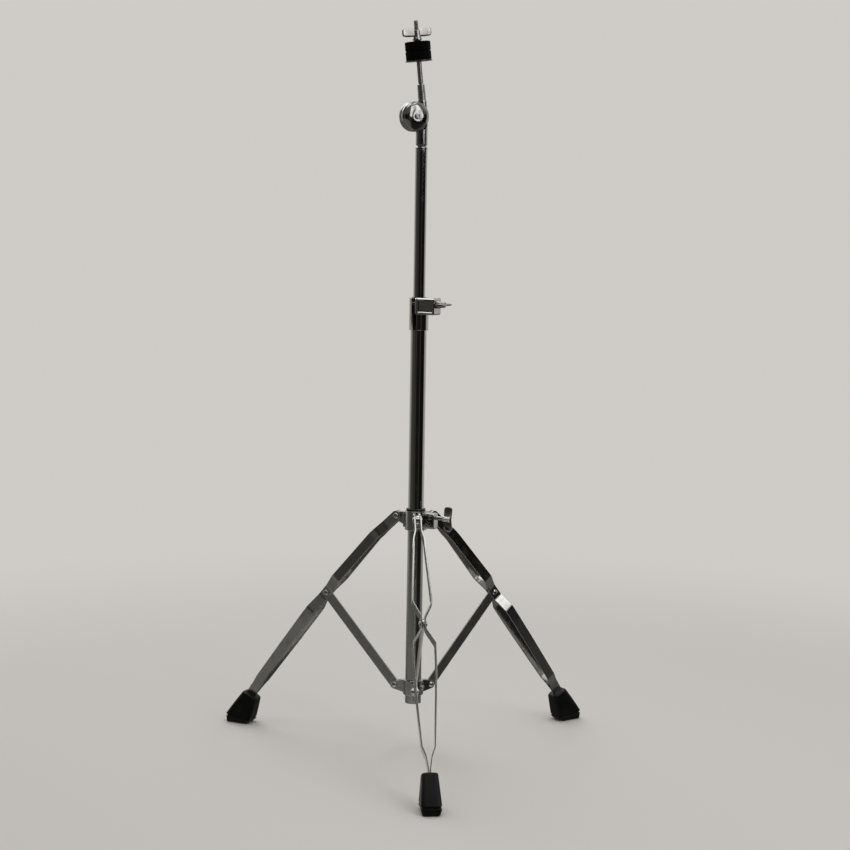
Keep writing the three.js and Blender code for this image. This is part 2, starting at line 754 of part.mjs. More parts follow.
// Rounded rectangles joined into a closed skin; each ring is {x0, x1, width, z, corner, lean}.
function loft(rings) {
  const outlines = rings.map(ringPoints);
  const n = outlines[0].length;
  const corners = outlines.flat(2);
  const last = outlines.length - 1;
  for (const [k, ring] of [[0, rings[0]], [last, rings[last]]]) {
    corners.push((ring.x0 + ring.x1) / 2, 0, ring.z);
  }
  const index = [];
  for (let k = 0; k < last; k++) {
    for (let i = 0; i < n; i++) {
      const j = (i + 1) % n;
      const [a, b, c, d] = [k * n + i, k * n + j, (k + 1) * n + j, (k + 1) * n + i];
      index.push(a, b, c, a, c, d);
    }
  }
  const low = outlines.length * n;
  for (let i = 0; i < n; i++) {
    const j = (i + 1) % n;
    index.push(low, j, i, low + 1, last * n + i, last * n + j);
  }
  const geometry = new THREE.BufferGeometry();
  geometry.setAttribute('position', new THREE.BufferAttribute(Float32Array.from(corners), 3));
  geometry.setIndex(index);
  return geometry;
}

function footRing(share, inset = 0) {
  const mix = THREE.MathUtils.lerp;
  return {
    x0: mix(foot.sideInner, foot.topInner, share) + inset,
    x1: mix(foot.sideOuter, foot.topOuter, share) - inset,
    width: mix(foot.sideWidth, foot.topWidth, share) - 2 * inset,
    z: mix(foot.sideHeight, foot.topHeight, share),
    lean: mix(foot.sideLean, foot.topLean, share),
    corner: foot.corner - inset / 2
  };
}

function makeFoot() {
  const { grooveHeight, grooveDepth, crown } = foot;
  const sole = {
    x0: foot.soleInner, x1: foot.soleOuter, width: foot.soleWidth, z: 0, corner: foot.corner
  };
  const grooveTop = (grooveHeight + 3 * foot.sideHeight) / 4;
  const rings = [
    sole,
    { ...footRing(0), z: grooveHeight },
    { ...footRing(0, grooveDepth), z: grooveHeight + grooveDepth },
    { ...footRing(0, grooveDepth), z: grooveTop },
    footRing(0),
    footRing(1),
    { ...footRing(1, crown / 3), z: foot.topHeight + crown * 0.7 },
    { ...footRing(1, crown), z: foot.topHeight + crown }
  ];
  const boot = geometryOf(solid(loft(rings))).translate(footRun, 0, -middlePivot);
  const half = strip.width / 2 + gap;
  const socket = block(shankLength - overrun * 4, shankLength + foot.socketDepth + half, -lowerBends.tip - gap,
    lowerBends.tip + gap, -half, half);
  return solid(boot).subtract(solid(socket.rotateY(-lowerAngle)));
}

function makeBrace() {
  const hole = rivet.radius + turningGap;
  const shape = linkShape(linkLength, brace.width, [[0, hole], [linkLength, hole]]);
  return solid(plate(shape, brace.thickness)).rotate([0, -braceAngle / deg, 0]);
}

legAzimuths.forEach((azimuth, i) => {
  const label = `leg_${i + 1}`;
  const plane = group(`${label}_plane`, stand, { rotation: [0, 0, azimuth * deg] });
  const leg = group(`${label}_middle_pivot`, plane, { position: [fold.braceRadius, 0, middlePivot] });
  leg.add(piece(`${label}_left_strip`, makeStrip(1), chrome));
  leg.add(piece(`${label}_right_strip`, makeStrip(-1), chrome));
  leg.add(piece(`${label}_foot`, makeFoot(), rubber));
  leg.add(piece(`${label}_middle_rivet`, solid(rivetAlongY(upperBends.pinch)), steel));
  const low = group(`brace_${i + 1}_pivot`, plane, { position: [fold.pivotRadius, 0, fold.lowerPivot] });
  low.add(piece(`brace_${i + 1}`, makeBrace(), chrome));
});

// Tilter: +Z is the pivot axis, pointing to the front, +Y is up, +X is the side that the stem is on.
// The pivot is at the origin, and the column's axis at x = offset.

function dome(side) {
  const { radius, halfThickness, faceRadius } = tilter;
  const rim = radius / 12;
  const profile = [[0, seamHalf], [radius - rim / 2, seamHalf], [radius, seamHalf + rim / 2],
    [radius, seamHalf + 2 * rim]];
  const start = seamHalf + 2 * rim;
  for (const share of [0.35, 0.65, 0.88, 1]) {
    const a = share * Math.PI / 2;
    profile.push([
      faceRadius + (radius - faceRadius) * Math.cos(a),
      start + (halfThickness - start) * Math.sin(a)
    ]);
  }
  profile.push([0, halfThickness]);
  return solid(turned(profile.map(([r, z]) => [r, side * z]), segments));
}

function tilterBore(radius) {
  return solid(rodSolid(radius, -tilter.halfThickness - overrun, tilter.halfThickness + overrun));
}

// Round bar along +Y, at a distance from the pivot axis.
function bar(profile, offset) {
  return solid(turned(profile, segments / 2).rotateX(-Math.PI / 2).translate(offset, 0, 0));
}

// Clears the other half's side of the seam within the rim.
function otherHalf(side) {
  const reach = tilter.halfThickness + overrun;
  const clear = tilter.radius + gap;
  const from = -side * reach;
  const to = side * seamHalf;
  return solid(rodSolid(clear, Math.min(from, to), Math.max(from, to), segments));
}

function makeTilterBase() {
  const { stemRadius, grooveDepth, grooveHeight, pivotRise, spigotLength } = tilter;
  const foot = -pivotRise + gap;
  const spigot = upperTube.outerRadius - upperTube.wall - gap;
  const seat = upperTube.outerRadius;
  const stem = bar([
    [0, foot - spigotLength], [spigot, foot - spigotLength], [spigot, foot], [seat, foot],
    [seat, foot + grooveHeight], [stemRadius - grooveDepth, foot + grooveHeight * 1.5],
    [stemRadius - grooveDepth, foot + grooveHeight * 2], [stemRadius, foot + grooveHeight * 2.5],
    [stemRadius, 0], [0, 0]
  ], tilter.offset);
  return stem.add(dome(-1)).subtract(otherHalf(-1)).subtract(tilterBore(tilter.boltRadius + gap));
}

function makeTilterHead() {
  const { bossRadius, bossTop, spigotLength, spigotRadius, chamfer } = rod;
  const boss = bar([[0, 0], [bossRadius, 0], [bossRadius, bossTop - 3 * chamfer],
    [rod.thickFootRadius, bossTop - gap], [0, bossTop - gap]], rod.offset);
  const bore = bar([[0, bossTop - spigotLength - gap], [spigotRadius + gap, bossTop - spigotLength - gap],
    [spigotRadius + gap, bossTop + overrun], [0, bossTop + overrun]], rod.offset);
  return boss.add(dome(1)).subtract(otherHalf(1)).subtract(bore).subtract(tilterBore(tilter.boltRadius + gap));
}

function makeFrictionWasher() {
  const half = tilter.washerThickness / 2;
  return solid(tubeSolid(tilter.boltRadius + gap, tilter.washerRadius, -half, half));
}

function makeTilterBolt() {
  const { boltRadius, boltHeadRadius, boltHeadHeight, halfThickness } = tilter;
  const seat = halfThickness + gap;
  const end = -halfThickness - gap - tilterNut.hubLength * 0.8;
  const edge = boltHeadHeight / 3;
  const head = solid(turned([
    [0, end], [boltRadius, end], [boltRadius, seat], [boltHeadRadius, seat], [boltHeadRadius, seat + edge],
    [boltHeadRadius - edge, seat + boltHeadHeight], [0, seat + boltHeadHeight]
  ], fineSegments));
  const socket = rodSolid(boltHeadRadius / 2, seat + boltHeadHeight / 2, seat + boltHeadHeight + overrun, 6);
  return head.subtract(solid(socket));
}

function makeTilterNut() {
  const nut = geometryOf(wings({ ...tilterNut, bore: tilter.boltRadius + gap }));
  return nut.rotateX(Math.PI).translate(0, 0, -tilter.halfThickness - gap);
}

// Cymbal seat, built upright on the rod's axis, with z = 0 level with the tilter's pivot.

function makeRod() {
  const { bossTop, thickTop, chamfer, seat, tip } = rod;
  return turned([
    [0, bossTop - rod.spigotLength], [rod.spigotRadius, bossTop - rod.spigotLength], [rod.spigotRadius, bossTop],
    [rod.thickFootRadius, bossTop], [rod.thickRadius, thickTop], [rod.radius, thickTop + chamfer],
    [rod.radius, seat], [rod.threadRadius, seat], [rod.threadRadius, tip - chamfer],
    [rod.threadRadius - chamfer, tip], [0, tip]
  ], fineSegments);
}

const washerBottom = rod.seat + gap;
const washerTop = washerBottom + seatWasher.thickness;
const sleeveInner = rod.threadRadius + gap;
const sleeveOuter = sleeveInner + sleeve.wall;
const bottomFelt = washerTop + gap;
const topFelt = bottomFelt + felt.thickness + gap;
const sleeveTop = topFelt + felt.thickness + sleeve.proud;
const nutFoot = sleeveTop + gap;

function makeSeatWasher() {
  const edge = seatWasher.thickness / 4;
  return chamferedSleeve(rod.threadRadius + gap, seatWasher.radius, washerBottom, washerTop, edge);
}

function makeFelt(bottom) {
  return chamferedSleeve(sleeveOuter + gap, felt.radius, bottom, bottom + felt.thickness, felt.edge);
}

function makeSleeve() {
  return tubeSolid(sleeveInner, sleeveOuter, washerTop + gap, sleeveTop, fineSegments);
}

function makeTopNut() {
  return wings({ ...topNut, bore: rod.threadRadius + gap }).translate([0, 0, nutFoot]);
}

const tilterGroup = group('tilter_frame', stand, {
  position: [0, 0, pivotHeight], rotation: [0, 0, (tilter.yaw + 90) * deg]
});
const pivotAxis = group('tilter_pivot', tilterGroup, {
  position: [-tilter.offset, 0, 0], rotation: [Math.PI / 2, 0, 0]
});
pivotAxis.add(piece('tilter_base', makeTilterBase(), chrome));
pivotAxis.add(piece('tilter_friction_washer', makeFrictionWasher(), nylon));
pivotAxis.add(piece('tilter_bolt', makeTilterBolt(), steel));
const nutMesh = piece('tilter_wing_nut', makeTilterNut(), chrome);
nutMesh.rotation.z = Math.PI / 2;
pivotAxis.add(nutMesh);

const headTurn = group('tilter_head_turn', pivotAxis, { rotation: [0, 0, tilter.rest * deg] });
headTurn.add(piece('tilter_head', makeTilterHead(), chrome));
const seatFrame = group('cymbal_seat_frame', headTurn, {
  position: [rod.offset, 0, 0], rotation: [-Math.PI / 2, 0, 0]
});
seatFrame.add(piece('cymbal_rod', solid(makeRod()), chrome));
seatFrame.add(piece('seat_washer', solid(makeSeatWasher()), steel));
seatFrame.add(piece('cymbal_sleeve', solid(makeSleeve()), nylon));
seatFrame.add(piece('bottom_felt', solid(makeFelt(bottomFelt)), wool));
seatFrame.add(piece('top_felt', solid(makeFelt(topFelt)), wool));
const topNutMesh = piece('top_wing_nut', makeTopNut(), chrome);
topNutMesh.rotation.z = topNutTurn * deg;
seatFrame.add(topNutMesh);

// The origin is the middle of the footprint, on the floor.
const assembly = new THREE.Group();
assembly.name = 'straight_cymbal_stand';
assembly.add(stand);
stand.updateMatrixWorld(true);
const footprint = new THREE.Box3().setFromObject(stand, true);
stand.position.set(-(footprint.min.x + footprint.max.x) / 2, -(footprint.min.y + footprint.max.y) / 2, -footprint.min.z);

export default assembly;
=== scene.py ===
import math

import bmesh
import bpy
import numpy as np
from mathutils import Matrix, Vector


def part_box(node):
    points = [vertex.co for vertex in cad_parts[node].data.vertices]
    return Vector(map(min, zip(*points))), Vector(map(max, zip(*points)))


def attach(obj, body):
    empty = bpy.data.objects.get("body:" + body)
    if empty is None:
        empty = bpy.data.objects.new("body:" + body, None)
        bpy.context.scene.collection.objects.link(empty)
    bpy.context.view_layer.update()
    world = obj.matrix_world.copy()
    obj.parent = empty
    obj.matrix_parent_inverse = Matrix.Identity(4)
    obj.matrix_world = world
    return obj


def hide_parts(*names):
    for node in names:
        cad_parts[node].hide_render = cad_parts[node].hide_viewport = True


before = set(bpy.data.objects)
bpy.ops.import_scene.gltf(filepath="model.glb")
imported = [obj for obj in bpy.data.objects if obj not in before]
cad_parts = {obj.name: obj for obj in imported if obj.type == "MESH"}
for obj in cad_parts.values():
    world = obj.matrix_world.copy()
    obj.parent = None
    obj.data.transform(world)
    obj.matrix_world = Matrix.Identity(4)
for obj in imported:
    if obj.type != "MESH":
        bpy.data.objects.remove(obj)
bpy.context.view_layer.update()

# Straight cymbal stand. Shapes are written in millimetres, each in a frame of its own piece, and
# placed() turns them into metres in the scene.

mm = 0.001
smoothAngle = math.radians(32)
flatAngle = math.radians(0.15)  # faces that lean less than this are one flat side
overrun = 3  # how far a cut runs past the face that it opens
fineTurns = 96  # sides of the larger round parts


# A frame is an origin in metres, and three axes as the rows of a matrix.
def turnedAxes(degrees):
    c, s = math.cos(math.radians(degrees)), math.sin(math.radians(degrees))
    return np.array([[c, s, 0], [-s, c, 0], [0, 0, 1.0]])


def shifted(where, x=0, y=0, z=0):
    origin, axes = where
    return origin + np.array([x, y, z]) * mm @ axes, axes


def reordered(where, i, j, k):  # the third axis of the new frame is the old axis k
    return where[0], where[1][[i, j, k]]


def turned(where, degrees):  # about its third axis
    return where[0], turnedAxes(degrees) @ where[1]


def placed(points, where):
    return np.asarray(points, float) * mm @ where[1] + where[0]


tubeLow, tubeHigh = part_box("base_tube")
columnX, columnY = (tubeLow.x + tubeHigh.x) / 2, (tubeLow.y + tubeHigh.y) / 2
columnFrame = (np.array([columnX, columnY, 0]), turnedAxes(0))
legAzimuths = [-90, 30, 150]
legFrames = [turned(columnFrame, a) for a in legAzimuths]


def rounded(corners, radius, steps=4, closed=True, support=0.3):
    # Each corner C becomes the curve (1-u)^2 A + 2u(1-u) C + u^2 B, where A and B lie on the two
    # sides at the radius from C, with one more point just beyond A and B that keeps flat faces flat.
    c = np.asarray(corners, float)
    r = np.broadcast_to(np.asarray(radius, float), (len(c),))
    before, after = np.roll(c, 1, axis=0) - c, np.roll(c, -1, axis=0) - c
    lengthA, lengthB = np.linalg.norm(before, axis=1), np.linalg.norm(after, axis=1)
    dirA, dirB = before / lengthA[:, None], after / lengthB[:, None]
    reachA, reachB = np.minimum(r, 0.45 * lengthA), np.minimum(r, 0.45 * lengthB)
    extraA, extraB = np.minimum(support, 0.04 * lengthA), np.minimum(support, 0.04 * lengthB)
    a, b = c + dirA * reachA[:, None], c + dirB * reachB[:, None]
    u = np.linspace(0, 1, steps + 1)[:, None, None]
    arc = (1 - u) ** 2 * a + 2 * u * (1 - u) * c + u ** 2 * b
    start, end = c + dirA * (reachA + extraA)[:, None], c + dirB * (reachB + extraB)[:, None]
    every = np.concatenate([start[None], arc, end[None]]).transpose(1, 0, 2)
    if closed:
        return every.reshape(-1, c.shape[1])
    return np.concatenate([c[:1], every[1:-1].reshape(-1, c.shape[1]), c[-1:]])


def arcPoints(x, y, radius, start, end, count):
    angle = np.radians(np.linspace(start, end, count))
    return np.column_stack([x + radius * np.cos(angle), y + radius * np.sin(angle)])


def boxOutline(x0, x1, y0, y1):
    return [[x0, y0], [x1, y0], [x1, y1], [x0, y1]]


# A shell is rings of points, joined ring to ring, as (rings, whether the last joins the first).
def lathe(profile, closed=True, turns=72):
    # The circle of radius r at height z for each point (r, z) of the profile.
    p = np.asarray(profile, float)
    if not closed:
        p = p[p[:, 0] > 1e-6]
    angle = np.linspace(0, 2 * np.pi, turns, endpoint=False)
    ring = np.stack([np.cos(angle), np.sin(angle), np.zeros(turns)], axis=1)
    rings = p[:, 0, None, None] * ring[None]
    rings[:, :, 2] = p[:, 1, None]
    return rings, closed


def stepped(start, *parts, inner=0):
    # The corners of a profile that starts at a height. Each part has a radius and ends at a height.
    corners = [[inner, start]]
    for radius, end in parts:
        corners += [[radius, start], [radius, end]]
        start = end
    return corners + [[inner, start]]


def sleeve(inner, outer, low, high, edge=0.4, turns=72):
    return lathe(rounded(boxOutline(inner, outer, low, high), edge, 3), True, turns)


def turnedBar(corners, edge=0.4, turns=48):
    # A turned solid that starts and ends on its axis.
    return lathe(rounded(corners, edge, 3, closed=False), False, turns)


def cylinder(radius, low, high, edge=0.1, turns=32):
    return turnedBar(stepped(low, (radius, high)), edge, turns)


def outwardOf(p):
    # The outward normal at each point of an outline, whichever way round it runs.
    along = np.roll(p, -1, axis=0) - np.roll(p, 1, axis=0)
    along /= np.maximum(np.linalg.norm(along, axis=1), 1e-9)[:, None]
    area = 0.5 * np.sum(p[:, 0] * np.roll(p[:, 1], -1) - np.roll(p[:, 0], -1) * p[:, 1])
    return np.column_stack([along[:, 1], -along[:, 0]]) * np.sign(area)


def edgeSteps(edge, steps, support=0.35):
    # Inset edge * (1 - sin a) at depth edge * (1 - cos a), after one point that keeps the face flat.
    a = np.linspace(0, np.pi / 2, steps + 1)
    return (np.concatenate([[edge + support], edge * (1 - np.sin(a))]),
            np.concatenate([[0], edge * (1 - np.cos(a))]))


def plate(outline, low, high, edge=0.5, steps=3, support=0.35):
    # The outline at each height, drawn in by a quarter circle near both faces.
    p = np.asarray(outline, float)
    inset, depth = edgeSteps(edge, steps, support)
    inset, depth = np.append(inset, 0), np.append(depth, edge + support)
    depth = np.concatenate([low + depth, high - depth[::-1]])
    inset = np.concatenate([inset, inset[::-1]])
    rings = np.empty((len(inset), len(p), 3))
    rings[:, :, :2] = p[None] - inset[:, None, None] * outwardOf(p)[None]
    rings[:, :, 2] = depth[:, None]
    return rings, False


def sharpCut(outline, low, high):
    return plate(outline, low, high, 0.01, 1, 0.01)


def raised(outlines, heights, edge=0.8, steps=4):
    # Plan outlines one above another. The first and the last are drawn in by a quarter circle.
    inset, depth = edgeSteps(edge, steps)
    plain = [(0, 0)] * (len(outlines) - 2)
    stacks = [list(zip(inset, depth)), *([step] for step in plain), list(zip(inset, -depth))[::-1]]
    rings, levels = [], []
    for p, height, stack in zip(outlines, heights, stacks):
        outward = outwardOf(p)
        rings += [p - i * outward for i, _ in stack]
        levels += [height + rise for _, rise in stack]
    rings = np.array(rings)
    level = np.broadcast_to(np.array(levels)[:, None, None], (*rings.shape[:2], 1))
    return np.concatenate([rings, level], 2), False


def ribbon(path, across, halfWidth, halfThick, edge=0.45, steps=2):
    # A rounded rectangle carried along the path: width along across, thickness along the normal.
    p, w = np.asarray(path, float), np.asarray(across, float)
    along = np.gradient(p, axis=0)
    along /= np.linalg.norm(along, axis=1)[:, None]
    normal = np.cross(w, along)
    normal /= np.linalg.norm(normal, axis=1)[:, None]
    full = halfWidth.max()
    section = rounded(boxOutline(-full, full, -halfThick, halfThick), edge, steps)
    share = (halfWidth / full)[:, None]
    x, y = section[None, :, 0] * share, np.broadcast_to(section[None, :, 1], (len(p), len(section)))
    return p[:, None] + x[..., None] * w[:, None] + y[..., None] * normal[:, None], False


def lobe(d, side, rows=30, turns=40):
    # One wing. At distance x the section is |y/t|^4 + |(z - c)/h|^4 = 1, where the thickness t
    # falls by the taper from the foot to the top edge, and h closes on |v|^3 + |h|^3 = 1 at the tip.
    u = np.linspace(0, 1, rows)
    u = 1 - (1 - u) ** 1.7
    x = u * d["reach"]
    base, top = d["hubLength"] - d["wingHeight"], d["hubLength"]
    rise = d["wingHeight"] * d["rise"] * u ** 1.5
    v = np.clip((u - 0.74) / 0.26, 0, 1)
    tip = np.clip(1 - v ** 3, 1e-6, 1) ** (1 / 3)
    neck = d["neck"] + (1 - d["neck"]) * np.sin(np.clip(u / 0.6, 0, 1) * np.pi / 2)
    half = 0.5 * d["wingHeight"] * neck * tip
    middle = 0.5 * (base + top) + rise
    angle = np.linspace(0, 2 * np.pi, turns, endpoint=False)
    cosine = np.sign(np.cos(angle)) * np.abs(np.cos(angle)) ** 0.5
    sine = np.sign(np.sin(angle)) * np.abs(np.sin(angle)) ** 0.5
    thick = 0.5 * d["wingThickness"] * (0.9 + 0.1 * np.sin(np.pi * u)) * (0.45 + 0.55 * tip)
    rings = np.empty((rows, turns, 3))
    rings[:, :, 0] = side * x[:, None]
    rings[:, :, 1] = thick[:, None] * cosine * (1 - d["taper"] * sine)
    rings[:, :, 2] = middle[:, None] + half[:, None] * sine
    return rings, False


def wings(d, where):
    return [(lobe(d, 1), where), (lobe(d, -1), where)]


def thread(radius, depth, low, high, pitch, turns=36, rows=6):
    # r = radius - depth * w, where w is the triangle wave of z/pitch - angle/360, from 0 to 1.
    count = int((high - low) / pitch * rows) + 1
    z = np.linspace(low, high, count)
    angle = np.linspace(0, 2 * np.pi, turns, endpoint=False)
    phase = (z[:, None] / pitch - angle[None] / (2 * np.pi)) % 1
    wave = np.clip(np.abs(2 * phase - 1) * 1.4 - 0.2, 0, 1)
    fade = np.clip(np.minimum(z - low, high - z) / pitch, 0, 1)[:, None]
    r = radius - depth * wave * fade - 0.5 * depth * np.clip(1 - (high - z) / pitch, 0, 1)[:, None]
    rings = np.stack([r * np.cos(angle), r * np.sin(angle), np.broadcast_to(z[:, None], r.shape)], axis=2)
    return rings, False


def ringFaces(count, size, closed):
    i = np.arange(count if closed else count - 1)[:, None]
    j = np.arange(size)[None]
    i2, j2 = (i + 1) % count, (j + 1) % size
    quads = np.stack([i * size + j, i * size + j2, i2 * size + j2, i2 * size + j], axis=2).reshape(-1, 4)
    faces = quads.tolist()
    if not closed:
        faces.append(np.arange(size)[::-1].tolist())
        faces.append((np.arange(size) + (count - 1) * size).tolist())
    return faces, quads


def outwardShell(shell, where):
    # Turned over when the volume that its faces enclose comes out negative.
    rings, closed = shell
    count, size = rings.shape[:2]
    points = placed(rings.reshape(-1, 3), where)
    faces, quads = ringFaces(count, size, closed)
    p = points - points.mean(axis=0)
    a, b, c, d = (p[quads[:, k]] for k in range(4))
    volume = np.sum(a * np.cross(b, c)) + np.sum(a * np.cross(c, d))
    if not closed:
        for ring in (p[:size][::-1], p[-size:]):
            volume += np.sum(ring.mean(axis=0) * np.cross(ring, np.roll(ring, -1, axis=0)))
    if volume < 0:
        faces = [f[::-1] for f in faces]
    return points, faces


def newObject(name, data):
    obj = bpy.data.objects.new(name, data)
    bpy.context.scene.collection.objects.link(obj)
    return obj


def newPiece(name, shell, where, scale=1):
    points, faces = outwardShell(shell, where)
    mesh = bpy.data.meshes.new(name)
    mesh.from_pydata((points * scale).tolist(), [], faces)
    return newObject(name, mesh)


def fused(name, first, adds=(), cuts=()):
    # One closed skin: the first shell, with the others joined to it and the cuts taken away.
    # Each is a shell with its frame. It is worked out in millimetres, where the joins are exact enough.
    obj = newPiece(name, *first, 1 / mm)
    helpers = []
    for operation, shells in (("UNION", adds), ("DIFFERENCE", cuts)):
        for shell, where in shells:
            helper = newPiece("helper", shell, where, 1 / mm)
            helpers.append(helper)
            step = obj.modifiers.new("join", "BOOLEAN")
            step.operation, step.solver, step.object = operation, "MANIFOLD", helper
    bpy.context.view_layer.update()
    done = bpy.data.meshes.new_from_object(obj.evaluated_get(bpy.context.evaluated_depsgraph_get()))
    for used in (obj, *helpers):
        bpy.data.objects.remove(used)
    # one face for each flat side, so that it shades evenly
    work = bmesh.new()
    work.from_mesh(done)
    bmesh.ops.dissolve_limit(work, angle_limit=flatAngle, verts=work.verts, edges=work.edges)
    loose = [edge for edge in work.edges if not edge.link_faces]
    bmesh.ops.delete(work, geom=loose, context="EDGES")
    work.to_mesh(done)
    work.free()
    done.transform(Matrix.Scale(mm, 4))
    return newObject(name, done)


def finished(obj, body, node, material, smooth=smoothAngle):
    mesh = obj.data
    mesh.polygons.foreach_set("use_smooth", np.ones(len(mesh.polygons), bool))
    mesh.set_sharp_from_angle(angle=smooth)
    mesh.materials.clear()
    mesh.materials.append(material)
    mesh.update()
    even = obj.modifiers.new("flatFaces", "WEIGHTED_NORMAL")
    even.mode, even.keep_sharp = "FACE_AREA_WITH_ANGLE", True
    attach(obj, body)
    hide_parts(node)


def newGroup(name, inputs, outputs):
    tree = bpy.data.node_groups.new(name, "ShaderNodeTree")
    for label, kind, value in inputs:
        socket = tree.interface.new_socket(label, in_out="INPUT", socket_type=kind)
        socket.default_value = value
    for label in outputs:
        tree.interface.new_socket(label, in_out="OUTPUT", socket_type="NodeSocketFloat")
    return tree, tree.nodes.new("NodeGroupInput").outputs, tree.nodes.new("NodeGroupOutput")


def feed(tree, node, values):
    # A socket is linked to the input, and any other value is set on it.
    for key, value in values.items():
        if isinstance(value, bpy.types.NodeSocket):
            tree.links.new(value, node.inputs[key])
        else:
            node.inputs[key].default_value = value


def addNode(tree, kind, settings=None, **inputs):
    # Inputs go by name, or by number as n0, n1 and so on.
    node = tree.nodes.new("ShaderNode" + kind)
    for key, value in (settings or {}).items():
        setattr(node, key, value)
    feed(tree, node, {int(k[1:]) if k[1:].isdigit() else k: v for k, v in inputs.items()})
    return node


def calc(tree, operation, a, b=0.0, c=0.0, clamp=False):
    return addNode(tree, "Math", {"operation": operation, "use_clamp": clamp}, n0=a, n1=b, n2=c).outputs[0]


def faded(tree, value, low, high):  # 0 at low and 1 at high, with soft ends
    soft = {"interpolation_type": "SMOOTHSTEP"}
    return addNode(tree, "MapRange", soft, n0=value, n1=low, n2=high).outputs[0]


def noise(tree, place, scale, detail, **more):
    return addNode(tree, "TexNoise", Vector=place, Scale=scale, Detail=detail, **more).outputs["Fac"]


def bumped(tree, strength, distance, height):
    return addNode(tree, "Bump", Strength=strength, Distance=distance, Height=height).outputs["Normal"]


def mixColour(tree, fac, a, b):
    a, b = (v if isinstance(v, bpy.types.NodeSocket) else (*v, 1) for v in (a, b))
    return addNode(tree, "Mix", {"data_type": "RGBA"}, n0=fac, n6=a, n7=b).outputs[2]


def makePolish():
    # Smudge: soft finger-sized clouds. Lines: very fine marks along the polishing direction.
    tree, source, sink = newGroup("polishMarks", [
        ("Cloud Scale", "NodeSocketFloat", 38.0), ("Line Scale", "NodeSocketVector", (900, 900, 30))],
        ["Smudge", "Lines"])
    place = addNode(tree, "TexCoord").outputs["Object"]
    cloud = noise(tree, place, source["Cloud Scale"], 5.0, Roughness=0.62)
    stretched = addNode(tree, "VectorMath", {"operation": "MULTIPLY"}, n0=place, n1=source["Line Scale"])
    feed(tree, sink, {"Smudge": faded(tree, cloud, 0.47, 0.72),
                      "Lines": noise(tree, stretched.outputs[0], 1.0, 3.0, Roughness=0.6)})
    return tree


def makeGrain():
    # Height: moulded or sanded grain. Tone: slow change of colour. Dust: thicker near the floor.
    tree, source, sink = newGroup("mouldGrain", [
        ("Grain Scale", "NodeSocketFloat", 1400.0), ("Tone Scale", "NodeSocketFloat", 60.0),
        ("Dust Height", "NodeSocketFloat", 0.03)], ["Height", "Tone", "Dust"])
    place = addNode(tree, "TexCoord").outputs["Object"]
    cells = addNode(tree, "TexVoronoi", {"feature": "SMOOTH_F1"}, Vector=place, Scale=source["Grain Scale"],
                    Smoothness=0.4).outputs["Distance"]
    grain = noise(tree, place, source["Grain Scale"], 3.0)
    tone = faded(tree, noise(tree, place, source["Tone Scale"], 4.0), 0.38, 0.68)
    up = addNode(tree, "SeparateXYZ", Vector=place).outputs["Z"]
    low = calc(tree, "SUBTRACT", 1.0, calc(tree, "DIVIDE", up, source["Dust Height"]), clamp=True)
    share = calc(tree, "MULTIPLY_ADD", tone, 0.7, 0.3)
    feed(tree, sink, {
        "Height": calc(tree, "ADD", calc(tree, "MULTIPLY", cells, 0.6), calc(tree, "MULTIPLY", grain, 0.5)),
        "Tone": tone,
        "Dust": calc(tree, "MULTIPLY", calc(tree, "POWER", low, 1.5), share)})
    return tree


polishMarks, mouldGrain = makePolish(), makeGrain()


def newMaterial(name):
    material = bpy.data.materials.new(name)
    material.use_nodes = True
    tree = material.node_tree
    return material, tree, tree.nodes["Principled BSDF"]


def groupNode(tree, group, values):
    node = tree.nodes.new("ShaderNodeGroup")
    node.node_tree = group
    feed(tree, node, values)
    return node.outputs


def platedMetal(name, d):
    material, tree, shader = newMaterial(name)
    marks = groupNode(tree, polishMarks, {"Cloud Scale": d["cloudScale"], "Line Scale": d["lineScale"]})
    rough = calc(tree, "MULTIPLY_ADD", marks["Smudge"], d["smudgeRoughness"], d["roughness"])
    feed(tree, shader, {"Base Color": mixColour(tree, marks["Smudge"], d["colour"], d["smudged"]),
                        "Roughness": calc(tree, "MULTIPLY_ADD", marks["Lines"], d["lineRoughness"], rough),
                        "Normal": bumped(tree, d["bump"], 0.0002, marks["Lines"]), "Metallic": 1.0})
    return material


def mouldedBlack(name, d):
    material, tree, shader = newMaterial(name)
    grain = groupNode(tree, mouldGrain, {"Grain Scale": d["grainScale"], "Tone Scale": d["toneScale"],
                                         "Dust Height": d["dustHeight"]})
    colour = mixColour(tree, grain["Tone"], d["colour"], d["lighter"])
    rough = calc(tree, "MULTIPLY_ADD", grain["Tone"], d["roughnessRange"], d["roughness"])
    feed(tree, shader, {"Base Color": mixColour(tree, grain["Dust"], colour, d["dust"]),
                        "Roughness": calc(tree, "MULTIPLY_ADD", grain["Dust"], 0.25, rough),
                        "Normal": bumped(tree, d["bump"], 0.0004, grain["Height"]),
                        "Specular IOR Level": d["gloss"]})
    return material


def pressedFelt(name, d):
    material, tree, shader = newMaterial(name)
    place = addNode(tree, "TexCoord").outputs["Object"]
    clumps = noise(tree, place, d["clumpScale"], 5.0, Distortion=1.2)
    fibre = addNode(tree, "TexWave", {"bands_direction": "DIAGONAL"}, Vector=place, Scale=d["fibreScale"],
                    Distortion=14.0, Detail=4.0).outputs["Fac"]
    fuzz = calc(tree, "ADD", calc(tree, "MULTIPLY", clumps, 0.7), calc(tree, "MULTIPLY", fibre, 0.35))
    tone = faded(tree, fuzz, 0.35, 0.8)
    feed(tree, shader, {"Base Color": mixColour(tree, tone, d["colour"], d["lighter"]),
                        "Roughness": calc(tree, "MULTIPLY_ADD", tone, 0.08, 0.9),
                        "Normal": bumped(tree, d["bump"], 0.0008, fuzz), "Sheen Weight": d["sheen"],
                        "Sheen Roughness": 0.6, "Specular IOR Level": 0.06})
    return material


